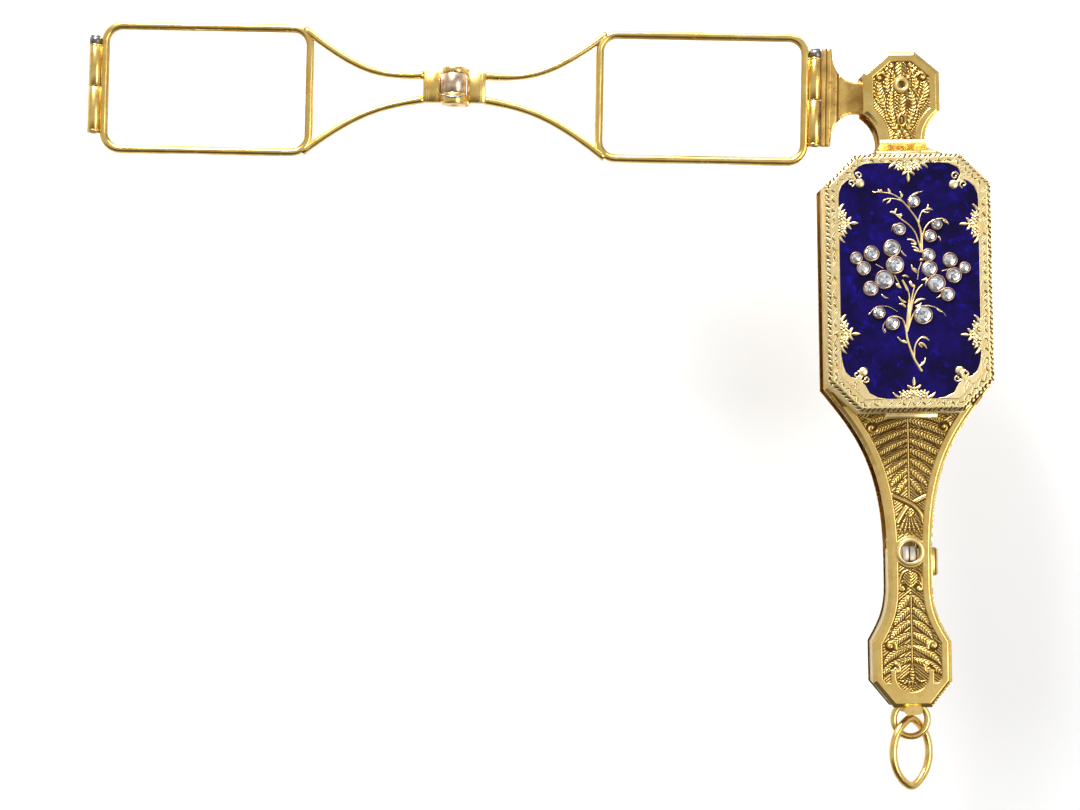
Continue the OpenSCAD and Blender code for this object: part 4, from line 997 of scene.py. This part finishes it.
def gold_overlay():
    """Pierced gold laid on the enamel: corner pieces, brackets and the flower's stems."""
    r = Relief(inset(enamel_outline, -0.12), 0.06)
    for sx in (-1, 1):
        for sz in (-1, 1):
            spandrel(r, sx, sz)
    for x, z, turn, grow in ((0.05, ENAMEL_MID + ENAMEL_HALF_H, -90, 1.0),
                             (0.3, ENAMEL_MID - ENAMEL_HALF_H, 90, 1.08), (-9.6, -19.8, 0, 1.0),
                             (-9.6, -35.0, 0, 1.0), (9.6, -20.1, 180, 1.0), (9.5, -35.3, 180, 1.0)):
        bracket(r, x, z, turn, grow)
    for path, w0, w1 in STEMS:
        p = smooth_path(path, 8)
        r.stamp(p, np.linspace(w0, w1, len(p)), 0.2)
    for k, (x0, z0, x1, z1, width) in enumerate(LEAVES):
        r.blade(x0, z0, x1, z1, width * 1.1, 0.21, 0.14 if k % 2 else -0.14)
    raised = (r.art > 0.02) & (r.edge > 0)
    # One row of vertices more on every side, so that each edge slopes down into the enamel
    wider = raised.copy()
    wider[1:] |= raised[:-1]
    wider[:-1] |= raised[1:]
    wider[:, 1:] |= raised[:, :-1]
    wider[:, :-1] |= raised[:, 1:]
    kept, quads = r.cells(wider)
    wear = np.clip(np.clip(1 - r.art / 0.1, 0, 1) * 0.7 + np.clip(r.cut / 0.045, 0, 1), 0, 1)
    y = -(LID_Y + r.art - r.cut - 0.07)
    made = Build()
    made.add(np.column_stack([r.gx.ravel(), y.ravel(), r.gz.ravel()])[kept], quads, wear.ravel()[kept])
    made.make("gold_overlay", OVERLAY, "lid", row, "lid_gold")


def collet(made, x, z, size):
    """A closed setting with a rubbed-over rim."""
    sides = 26
    profile = [(size + 0.03, -0.02), (size, 0.16), (size - 0.02, 0.3), (size - 0.07, 0.36),
               (size - 0.15, 0.34), (size - 0.2, 0.25), (size - 0.2, 0.0)]
    a = np.linspace(0, 2 * math.pi, sides, endpoint=False)
    wobble = 1 + 0.018 * np.sin(a * 3 + rng.random() * 6) + 0.012 * np.sin(a * 7 + rng.random() * 6)
    pts = np.vstack([at_depth(polar(x, z, r_ * wobble, a), -LID_Y - h) for r_, h in profile])
    made.add(pts, ring_faces(len(profile), sides), np.repeat([0.75, 0.2, 0, 0, 0.15, 0.8, 1], sides))


def rose_cut(made, x, z, radius, n):
    """A rose-cut stone: three tiers of n corners and a tip, each facet painted light or dark at random,
    for painted glints and reflections.
    """
    start = rng.random() * 6.28
    tiers = []
    for r_, h, shift in ((1.0, 0.24, 0.0), (0.86, 0.40, 0.5), (0.52, 0.53, 0.0)):
        b = start + (np.arange(n) + shift) * 2 * math.pi / n
        uneven = 1 + 0.05 * (rng.random(n) - 0.5)
        y = -LID_Y - h + 0.02 * (rng.random(n) - 0.5)
        tiers.append(at_depth(polar(x, z, radius * r_ * uneven, b), y))
    tip = [[x + 0.08 * (rng.random() - 0.5), -LID_Y - 0.6, z + 0.08 * (rng.random() - 0.5)]]
    pts = np.vstack([*tiers, tip])
    faces = []
    for tier in (0, 1):
        for k in range(n):
            p, q = tier * n + k, tier * n + (k + 1) % n
            u, v = p + n, q + n
            faces += [(p, q, v), (p, v, u)] if tier == 0 else [(p, q, u), (q, v, u)]
    faces += [(2 * n + k, 2 * n + (k + 1) % n, 3 * n) for k in range(n)]
    for f in faces:
        # A random value per facet: its painted glint and reflection, from bright to dark.
        made.add(pts[list(f)], [(0, 1, 2)], [rng.random() ** 1.6] * 3)


def stones():
    """All settings and stones of the flower."""
    collets, gems = Build(), Build()
    for x, z, size in STONES:
        size *= 1.09
        collet(collets, x, z + LID_MID, size)
        rose_cut(gems, x, z + LID_MID, size - 0.17, 6 if size < 0.9 else 8)
    collets.make("collets", ROSY, "lid", row, "setting_gold", replaces=["stone_settings"])
    gems.make("rose_cut_stones", DIAMOND, "lid", row, "diamond", smooth=False, replaces=["rose_stones"])


def box_mouldings():
    """Thin polished lines round the watch box, and the milled thumb-piece."""
    made = Build()
    for y, w in ((3.0, 0.12), (5.72, 0.13), (4.4, 0.07)):
        sweep(made, at_depth(inset(box_outline, -0.03), -y), w, 8, closed=True)
    made.make("box_mouldings", PALE, "handle", row, "lid_gold")
    thumb = Build()
    z0, z1 = CASE_BOTTOM - 0.68, CASE_BOTTOM + 0.2
    block(thumb, (-3.55, -LID_IN_Y + 0.05, z0), (3.55, -BOX_Y - 0.05, z1), 0.08)
    for k in range(22):
        ball(thumb, (-3.35 + 6.7 * k / 21, -LID_IN_Y + 0.08, z0 + 0.62), 0.15, 0.8, rings=6, sides=8)
    thumb.make("milled_thumb_piece", PALE, "lid", row, "lid_gold", replaces=["lid_thumb_piece"])


def block(made, low, high, bevel, wear=0.0):
    """A box with all its edges cut at a slant."""
    pts, key = [], {}
    corners = list(product((0, 1), repeat=3))
    for c in corners:
        corner = np.where(c, high, low).astype(float)
        for axis in range(3):
            p = corner + np.where(c, -bevel, bevel)
            p[axis] = corner[axis]
            key[(*c, axis)] = len(pts)
            pts.append(p)
    faces = [tuple(key[(*c, axis)] for axis in range(3)) for c in corners]
    for axis in range(3):
        a, b = (k for k in range(3) if k != axis)

        def at(s, u, v, face):
            c = [0, 0, 0]
            c[axis], c[a], c[b] = s, u, v
            return key[(*c, face)]

        for s in (0, 1):
            faces.append(tuple(at(s, u, v, axis) for u, v in ((0, 0), (1, 0), (1, 1), (0, 1))))
        for u, v in product((0, 1), repeat=2):
            faces.append((at(0, u, v, a), at(1, u, v, a), at(1, u, v, b), at(0, u, v, b)))
    made.add(pts, faces, np.full(len(pts), wear))


lid_border()
gold_overlay()
stones()
box_mouldings()


# Spectacles: round-wire rims, closing tubes, arm, yokes and the bridge hinge
RIM_X0, RIM_X1, RIM_H, RIM_WIRE = -42.5, -12.4, 18.7, 1.14
LENS_BACK = 1.0
TUBE_X = -11.6
TUBE_R, TUBE_LEN, SCREW_HEAD = 0.9, 13.8, 1.25


def rim_path(d, corner):
    """The rim's rounded box, moved in by d, as x and z."""
    x0, x1 = RIM_X0 + d, RIM_X1 - d
    z0, z1 = -LENS_DROP - RIM_H / 2 + d, -LENS_DROP + RIM_H / 2 - d
    out = []
    for cx, cz, a0 in ((x1 - corner, z1 - corner, 0), (x0 + corner, z1 - corner, 90),
                       (x0 + corner, z0 + corner, 180), (x1 - corner, z0 + corner, 270)):
        a = np.radians(np.linspace(a0, a0 + 90, 9))
        out.append(polar(cx, cz, corner, a))
    path = np.vstack(out)
    # Places close together on the straight sides, so that the wire can be slightly uneven
    dense = []
    for p, q in zip(path, np.roll(path, -1, 0)):
        m = max(1, int(np.hypot(*(q - p)) / 1.2))
        for t in np.arange(m) / m:
            dense.append(p + (q - p) * t)
    return np.array(dense)


def rim(name, replaces, move, wide_side):
    """Near or far rim: outer wire, thin inner lip, and the split closing tube with its collars."""
    made = Build()
    p = rim_path(RIM_WIRE / 2, 3.0 - RIM_WIRE / 2)
    wob = 0.02 * np.sin(p[:, 0] * 0.5 + p[:, 1] * 0.31)
    path = at_depth(p, LENS_BACK + wob)
    thick = RIM_WIRE / 2 * (1 + 0.05 * np.sin(p[:, 0] * 0.37 + 1.7) + 0.04 * np.sin(p[:, 1] * 0.9))
    sweep(made, path, thick, 18, closed=True, flat=1.07)
    lip = rim_path(RIM_WIRE * 0.93, 3.0 - RIM_WIRE * 0.93)
    sweep(made, at_depth(lip, LENS_BACK), 0.12, 8, closed=True, flat=3.2, wear=0.25)
    low, high = ARM_Z - TUBE_LEN / 2, ARM_Z + TUBE_LEN / 2 - SCREW_HEAD
    split = -LENS_DROP
    for a, b in ((low, split - 0.07), (split + 0.07, high)):
        rod(made, (TUBE_X, LENS_BACK, 0), "z", TUBE_R, a, b, 0.07, 30, 0.05, bore=0.46)
    for z in (low + 0.25, high - 0.2):
        rod(made, (TUBE_X, LENS_BACK, 0), "z", TUBE_R + 0.035, z - 0.16, z + 0.16, 0.05, 30, 0.1)
    for a, b in ((low, split - 0.1), (split + 0.1, high)):
        block(made, (RIM_X1 - 0.25, LENS_BACK - 0.3, a), (TUBE_X - 0.5, LENS_BACK + 0.3, b), 0.05, 0.6)
    made.make(name, GOLD, wide_side, move, "gold", replaces=replaces)


def closing_screw(name, replaces, move, body):
    """The screw that closes the rim's tube, with its slotted head at the top."""
    made = Build()
    low, high = ARM_Z - TUBE_LEN / 2, ARM_Z + TUBE_LEN / 2 - SCREW_HEAD
    rod(made, (TUBE_X, LENS_BACK, 0), "z", 0.44, low - 0.05, high + 0.1, 0.04, 20)
    rod(made, (TUBE_X, LENS_BACK, 0), "z", TUBE_R - 0.02, high + 0.02, high + SCREW_HEAD - 0.3, 0.08, 28)
    for side in (-1, 1):
        block(made, (TUBE_X - 0.62, LENS_BACK + (0.12 if side > 0 else -0.62), high + SCREW_HEAD - 0.32),
              (TUBE_X + 0.62, LENS_BACK + (0.62 if side > 0 else -0.12), high + SCREW_HEAD), 0.06)
    made.make(name, DARK, body, move, "dark_steel", replaces=replaces)


BLOCK_X1 = -(HINGE_U - 1.73 - 0.06)
BLOCK_X0 = BLOCK_X1 + 2.6
KNUCKLES = (0.85, 2.8, 1.6)
BARREL_TOP = BARREL_Z + sum(KNUCKLES) / 2


def knuckle(made, span, radius, chamfer, bore):
    """One knuckle of the bridge hinge, with the short web that ties it to its block."""
    z0, z1 = span
    rod(made, (-HINGE_U, 0, 0), "z", radius, z0, z1, chamfer, 44, 0.05, bore=bore)
    block(made, (-HINGE_U + 1.0, LENS_BACK - 0.65, z0 + 0.03),
          (BLOCK_X1 + 0.3, LENS_BACK + 0.5, z1 - 0.03), 0.05, 0.1)


def yoke(name, replaces, move, body, spans):
    """Two curved wires, soldered to the rim's corners, run into the block beside the barrel."""
    made = Build()
    for side in (-1, 1):
        half = 4.3 / 2 - 0.85 / 2
        p = cubic((BLOCK_X0 - 0.1, BARREL_Z + side * half),
                  (BLOCK_X0 + 6.5, -LENS_DROP + side * (half + 0.35)),
                  (BLOCK_X0 + 9.4, -LENS_DROP + side * (half + 1.3)),
                  (RIM_X0 + 1.5, -LENS_DROP + side * (RIM_H / 2 - 0.62)), 40)
        t = np.linspace(0, 1, len(p))
        radius = 0.5 * (1 + 0.18 * np.exp(-((t / 0.12) ** 2)) + 0.12 * np.exp(-(((1 - t) / 0.05) ** 2)))
        sweep(made, at_depth(p, LENS_BACK - 0.05), radius, 16, flat=1.08)
    block(made, (BLOCK_X1, LENS_BACK - 0.65, BARREL_Z - 2.15),
          (BLOCK_X0, LENS_BACK + 0.55, BARREL_Z + 2.15), 0.12, 0.05)
    # Two filed lines across the block
    for x in (BLOCK_X0 - 0.45, BLOCK_X0 - 0.8):
        rod(made, (x, LENS_BACK - 0.62, BARREL_Z), "z", 0.07, -2.05, 2.05, 0.02, 8, 0.2)
    for span in spans:
        knuckle(made, span, 1.73, 0.09, 0.6)
    made.make(name, GOLD, body, move, "gold", replaces=replaces)


def both_spectacles():
    """Rims, screws and yokes of the two spectacles, and the end of the bridge's spring."""
    top, mid, low = KNUCKLES
    near_top = (BARREL_TOP - top, BARREL_TOP)
    near_low = (BARREL_TOP - top - mid - low, BARREL_TOP - top - mid)
    far_span = (BARREL_TOP - top - mid + 0.04, BARREL_TOP - top - 0.04)
    rim("near_rim_wire", ["near_rim"], opened, "near_spectacle")
    rim("far_rim_wire", ["far_rim"], opened_far, "far_spectacle")
    closing_screw("near_screw", ["near_closing_screw"], opened, "near_spectacle")
    closing_screw("far_screw", ["far_closing_screw"], opened_far, "far_spectacle")
    yoke("near_yoke_wires", ["near_yoke"], opened, "near_spectacle", [near_top, near_low])
    yoke("far_yoke_wires", ["far_yoke"], opened_far, "far_spectacle", [])
    middle = Build()
    knuckle(middle, far_span, 1.7, 0.06, 0.62)
    middle.make("middle_knuckle", COPPER, "far_spectacle", opened_far, "gold")
    # The spring's end lies in a curl on the bottom knuckle
    curl = Build()
    z = near_low[1] - 0.45
    a = np.radians(np.linspace(-150, -20, 20))
    path = np.column_stack([-HINGE_U + 1.74 * np.cos(a), 1.74 * np.sin(a), z + 0.25 * np.cos(a * 2)])
    sweep(curl, path, np.linspace(0.16, 0.1, 20), 8)
    ball(curl, path[0], 0.2)
    curl.make("spring_end", SPRING, "near_spectacle", opened, "spring_steel")


def arm():
    """The stepped plate beside the near tube and the waisted web to the pivot."""
    made = Build()
    x1 = TUBE_X + TUBE_R + 2.0
    y0, y1 = LENS_BACK - 0.65, LENS_BACK + 0.6
    bend = cubic((x1 - 0.6, 5.6), (x1 - 0.35, 4.0), (x1 + 0.6, 2.5), (x1 + 2.2, 2.2), 8)
    half = np.vstack([[(x1 - 0.7, 6.88)], bend, [(-2.3, 2.2)]])
    left = x1 - 1.95
    outline = np.vstack([half, half[::-1] * (1, -1), [(left, -6.88), (left, 6.88)]]) + (0, ARM_Z)
    r = Relief(outline, 0.09)
    # Cut lines: their distance from the step's edge, width and darkness
    lines = sum(dark * np.exp(-(((r.gx - x1 + d) / w) ** 2))
                for d, w, dark in ((1.35, 0.1, 1.0), (0.7, 0.07, 0.5), (-0.3, 0.14, 1.0)))
    lines = np.clip(lines, 0, 1)
    height = -0.2 * lines - 0.16 * (1 - np.clip(r.edge / 0.22, 0, 1))
    r.plate(made, r.edge > 0, -y0, height, lines * 0.9 + 0.05)
    sides = wall(made, outline, (y0 + 0.16, y1), 0.3)
    made.add(sides[len(outline):], [tuple(range(len(outline)))])
    rod(made, (0, 0, 0), "y", 3.4, y0 + 0.02, y1 - 0.02, 0.08, 48, 0.2, bore=1.52)
    made.make("stepped_arm", AGED, "near_spectacle", opened, "gold", replaces=["arm"])


both_spectacles()
arm()


# Handle details: window, slide button, pivot eye, ring pin head and the dial's print
def turned(made, x, z, profile, wear, sides=48):
    """A ring turned about Y from pairs of radius and distance in front."""
    a = np.linspace(0, 2 * math.pi, sides, endpoint=False)
    pts = np.vstack([at_depth(polar(x, z, r_, a), -h) for r_, h in profile])
    made.add(pts, ring_faces(len(profile), sides), np.repeat(wear, sides))


def window_and_catch():
    """The round boss in the neck, and the catch's slotted square end seen through it; the hole's wall and
    a dark piece in the slit are painted shade.
    """
    z, hole = WINDOW[1], WINDOW[2]
    top = SHELL_Y + 0.35
    boss = Build()
    profile = [(1.98, SHELL_Y - 0.12), (1.95, SHELL_Y + 0.12), (1.86, top - 0.06), (1.76, top),
               (1.52, top), (1.44, top - 0.06), (hole - 0.03, top - 0.25), (hole - 0.03, SLOT_Y)]
    # The hole's wall darkens towards its bottom as painted shade; the boss's foot is darkened too.
    turned(boss, 0, z, profile, [0.6, 0.1, 0, 0, 0, 0, 0.3, 0.9])
    boss.make("window_rim", PALE, "handle", row, "gold", replaces=["window_boss"])
    seen = Build()
    for x0, x1 in ((-0.95, -0.1), (0.1, 0.95)):
        block(seen, (x0, -SLOT_Y + 0.09, z - 1.25), (x1, -1.2, z + 0.75), 0.07)
    seen.make("window_square", SILVER, "catch", row, "silver", replaces=["window_block"])
    # A dark piece at the bottom of the slit: painted shade.
    slit = Build()
    block(slit, (-0.11, -SLOT_Y + 0.5, z - 1.22), (0.11, -1.25, z + 0.72), 0.02)
    slit.make("window_slit_painted_shade", DARK, "catch", row, "dark_steel")


def slide_button():
    """Knurled button on the right edge: a rounded body with cross grooves."""
    made = Build()
    z1, z0 = SLOT_END - 0.05, SLOT_END - 3.95
    cols = np.linspace(-1.2, 1.2, 13)
    rows_ = np.linspace(z0, z1, 79)
    pts, wear = [], []
    for zz in rows_:
        t = (zz - z0) / (z1 - z0)
        groove = 0.5 + 0.5 * math.cos(t * 2 * math.pi * 11)
        end = min(1.0, min(t, 1 - t) / 0.05)
        for y in cols:
            side = 1 - (abs(y) / 1.2) ** 4
            x = 3.5 + (0.5 + 0.22 * groove) * (0.35 + 0.65 * end) * (0.4 + 0.6 * side)
            pts.append((x, y, zz))
            wear.append((1 - groove) ** 1.5 * 0.8)
    made.add(pts, ring_faces(len(rows_), len(cols), closed_cols=False), wear)
    block(made, (2.55, -1.17, z0 + 0.02), (3.67, 1.17, z1 - 0.02), 0.05, 0.3)
    made.make("knurled_button", GOLD, "catch", row, "gold", replaces=["slide_button"])


def pivot_eye():
    """Light eyelet of the hollow rivet round its bore, which is painted dark: painted shade on its inner
    wall and a dark disc set inside it.
    """
    y = SHELL_Y
    made = Build()
    profile = [(0.98, y - 0.1), (0.95, y + 0.12), (0.88, y + 0.17), (0.66, y + 0.17), (0.56, y + 0.1),
               (0.52, y - 0.3), (0.5, y - 1.8)]
    # The bore's inner wall is painted dark as shade; the eyelet's foot is darkened too.
    turned(made, 0, 0, profile, [0.6, 0, 0, 0, 0.2, 1, 1])
    made.make("pivot_eyelet", PALE, "handle", row, "gold")
    # A dark disc set inside the bore: painted shade that makes the hole look deep.
    dark = Build()
    rod(dark, (0, 0, 0), "y", 0.52, -y + 0.9, -y + 1.0, 0.02, 24)
    dark.make("pivot_bore_painted_shade", DARK, "handle", row, "dark_steel")


RING_PIN_Z = -86.64


def ring_pin_head():
    """Oval head of the pin that carries the jump ring, with a dimple."""
    made = Build()
    a = np.linspace(0, 2 * math.pi, 32, endpoint=False)
    rows_ = [(1.0, 2.5), (1.02, 2.86), (0.94, 3.02), (0.7, 3.13), (0.34, 3.14), (0.22, 3.0), (0.0, 2.95)]
    pts = np.vstack([at_depth(polar(0, 0, k, a) * (1.25, 0.65) + (0, RING_PIN_Z), -h) for k, h in rows_])
    made.add(pts, ring_faces(len(rows_), 32), np.repeat([0.8, 0.2, 0, 0, 0.3, 1.0, 1.0], 32))
    made.make("pin_head", GOLD, "handle", row, "gold")


DIAL_Z, DIAL_FACE = -23.65, 5.35


def on_dial(angle, out, side=0.0):
    """A place at a distance out from the dial's centre; the angle runs clockwise from 12."""
    u, v = math.sin(angle), math.cos(angle)
    return out * u + side * v, out * v - side * u


def ink_bar(made, a, b, width):
    """A thin printed bar on the dial between two places given from the dial's centre."""
    a, b = np.array(a, float), np.array(b, float)
    side = np.array([a[1] - b[1], b[0] - a[0]]) / np.hypot(*(b - a)) * width / 2
    flat = [a - side, b - side, b + side, a + side]
    pts = [(x, -DIAL_FACE - h, DIAL_Z + z) for h in (-0.02, 0.03) for x, z in flat]
    made.add(pts, [(3, 2, 1, 0), (4, 5, 6, 7), (0, 1, 5, 4), (1, 2, 6, 5), (2, 3, 7, 6), (3, 0, 4, 7)])


def dial_print():
    """Hours and minute track of the small watch under the lid."""
    made = Build()
    wide = {"I": 0.27, "V": 0.58, "X": 0.54}
    for hour, figure in enumerate("I II III IIII V VI VII VIII IX X XI XII".split(), 1):
        a = math.radians(30 * hour)
        u = -sum(wide[c] for c in figure) / 2
        for c in figure:
            w = wide[c]
            bars = {"I": ((0.5, 0.5, 0.12),), "V": ((0.08, 0.5, 0.13), (0.92, 0.5, 0.06)),
                    "X": ((0.08, 0.92, 0.13), (0.92, 0.08, 0.06))}[c]
            for high, low, thick in bars:
                ink_bar(made, on_dial(a, 5.5, u + w * high), on_dial(a, 4.3, u + w * low), thick)
            u += w
    for minute in range(60):
        a = math.radians(6 * minute)
        r0, thick = (5.8, 0.09) if minute % 5 == 0 else (5.92, 0.05)
        ink_bar(made, on_dial(a, r0), on_dial(a, 6.12), thick)
    low, high = DIAL_FACE - 0.02, DIAL_FACE + 0.03
    for r0 in (6.1, 5.74):
        profile = [(r0, low), (r0, high), (r0 + 0.06, high), (r0 + 0.06, low)]
        turned(made, 0, DIAL_Z, profile, [0.0] * 4, 96)
    made.make("dial_print", INK, "handle", row, "white_enamel")


window_and_catch()
slide_button()
pivot_eye()
ring_pin_head()
dial_print()


# Stage: pale surface behind the object, soft lamps and the camera
def lamp(name, place, aim, size, power, colour=(1, 1, 1)):
    """A rectangular soft lamp that points at aim; metres and watts."""
    data = bpy.data.lights.new(name, "AREA")
    data.shape = "RECTANGLE"
    data.size, data.size_y = size
    data.energy = power
    data.color = colour
    obj = bpy.data.objects.new(name, data)
    obj.location = place
    obj.rotation_euler = (Vector(aim) - Vector(place)).to_track_quat("-Z", "Y").to_euler()
    bpy.context.scene.collection.objects.link(obj)


def backdrop():
    """White surface: bright to the camera with soft shadows on it, dimmer in the gold's reflections."""
    bpy.ops.mesh.primitive_plane_add(size=3, location=(-0.05, 0.026, 0.03), rotation=(math.pi / 2, 0, 0))
    floor = bpy.context.object
    floor.name = "backdrop"
    mat, tree, shader = material("backdrop")
    tone = mix(tree, noise(tree, 3, 1), (0.50, 0.50, 0.50), (0.52, 0.52, 0.52))
    seen = node(tree, "ShaderNodeLightPath").outputs["Is Camera Ray"]
    fill(tree, shader, {"Base Color": tone, "Roughness": 0.9, "Specular IOR Level": 0.0,
                        "Emission Color": (1, 1, 1),
                        "Emission Strength": ramp(tree, seen, 0, 1, 0.2, 0.47)})
    # Seen from behind, the surface is clear, so that the object's back shows
    behind = node(tree, "ShaderNodeNewGeometry").outputs["Backfacing"]
    clear = node(tree, "ShaderNodeBsdfTransparent").outputs[0]
    both = node(tree, "ShaderNodeMixShader", {0: behind, 1: shader.outputs[0], 2: clear}).outputs[0]
    out = next(n for n in tree.nodes if n.type == "OUTPUT_MATERIAL")
    fill(tree, out, {"Surface": both})
    floor.data.materials.append(mat)


# Grey levels of the room by height, from low down (0) to high up (1)
ROOM = ((0.1, 0.33), (0.155, 0.6), (0.2, 0.95), (0.32, 0.72), (0.5, 0.62), (0.62, 0.75), (0.8, 0.45))


def studio():
    """A bright room with a dark band low down, so that polished gold shows contrast."""
    world = bpy.data.worlds.new("studio")
    bpy.context.scene.world = world
    world.use_nodes = True
    tree = world.node_tree
    tree.nodes.clear()
    ray = node(tree, "ShaderNodeNewGeometry").outputs["Incoming"]
    height = ramp(tree, node(tree, "ShaderNodeSeparateXYZ", {0: ray}).outputs["Z"], -0.9, 0.5, 1.0, 0.0)
    room = node(tree, "ShaderNodeValToRGB", {0: height})
    stops = room.color_ramp.elements
    stops[0].position, stops[0].color = 0.0, (0.15, 0.12, 0.09, 1)
    stops[1].position, stops[1].color = 1.0, (0.66, 0.66, 0.67, 1)
    for place, grey in ROOM:
        stops.new(place).color = (grey, grey, grey, 1)
    back = node(tree, "ShaderNodeBackground", {"Color": room.outputs[0], "Strength": 0.82})
    seen = node(tree, "ShaderNodeBackground", {"Color": (1, 1, 1), "Strength": 1.0})
    camera_ray = node(tree, "ShaderNodeLightPath").outputs["Is Camera Ray"]
    both = node(tree, "ShaderNodeMixShader", {0: camera_ray, 1: back.outputs[0], 2: seen.outputs[0]})
    node(tree, "ShaderNodeOutputWorld", {"Surface": both.outputs[0]})


# The camera's turn (axis times angle), its place in millimetres and its focal length in pixels
CAMERA_TURN = (-0.04204, -0.01303, -0.0064)
CAMERA_AT = (-48.7466, -339.6149, 11.8666)
PIXEL_FOCUS, FRAME_PIXELS = 2435.0, 1080
SENSOR = 36.0


def place_camera():
    """The camera, where the photo was taken from."""
    scene = bpy.context.scene
    scene.view_settings.view_transform = "Standard"
    data = bpy.data.cameras.new("camera")
    camera = bpy.data.objects.new("camera", data)
    scene.collection.objects.link(camera)
    scene.camera = camera
    turn = Matrix.Rotation(Vector(CAMERA_TURN).length, 3, Vector(CAMERA_TURN).normalized())
    right, depth, up = (Vector(turn[i]) for i in range(3))
    pose = Matrix((right, up, -depth)).transposed().to_4x4()
    pose.translation = Vector(CAMERA_AT) * MM
    camera.matrix_world = pose
    data.sensor_width = SENSOR
    data.lens = PIXEL_FOCUS / FRAME_PIXELS * SENSOR
    data.clip_start = 0.01
    data.clip_end = 20.0


backdrop()
studio()
lamp("key", (-0.16, -0.24, 0.43), (-0.03, 0, 0.04), (0.16, 0.10), 3.4, (1.0, 0.985, 0.96))
lamp("fill", (0.30, -0.40, -0.05), (0.0, 0, 0.02), (0.22, 0.36), 1.1, (0.97, 0.98, 1.0))
lamp("top", (-0.03, -0.12, 0.42), (-0.03, 0, 0.03), (0.40, 0.10), 1.0)
place_camera()
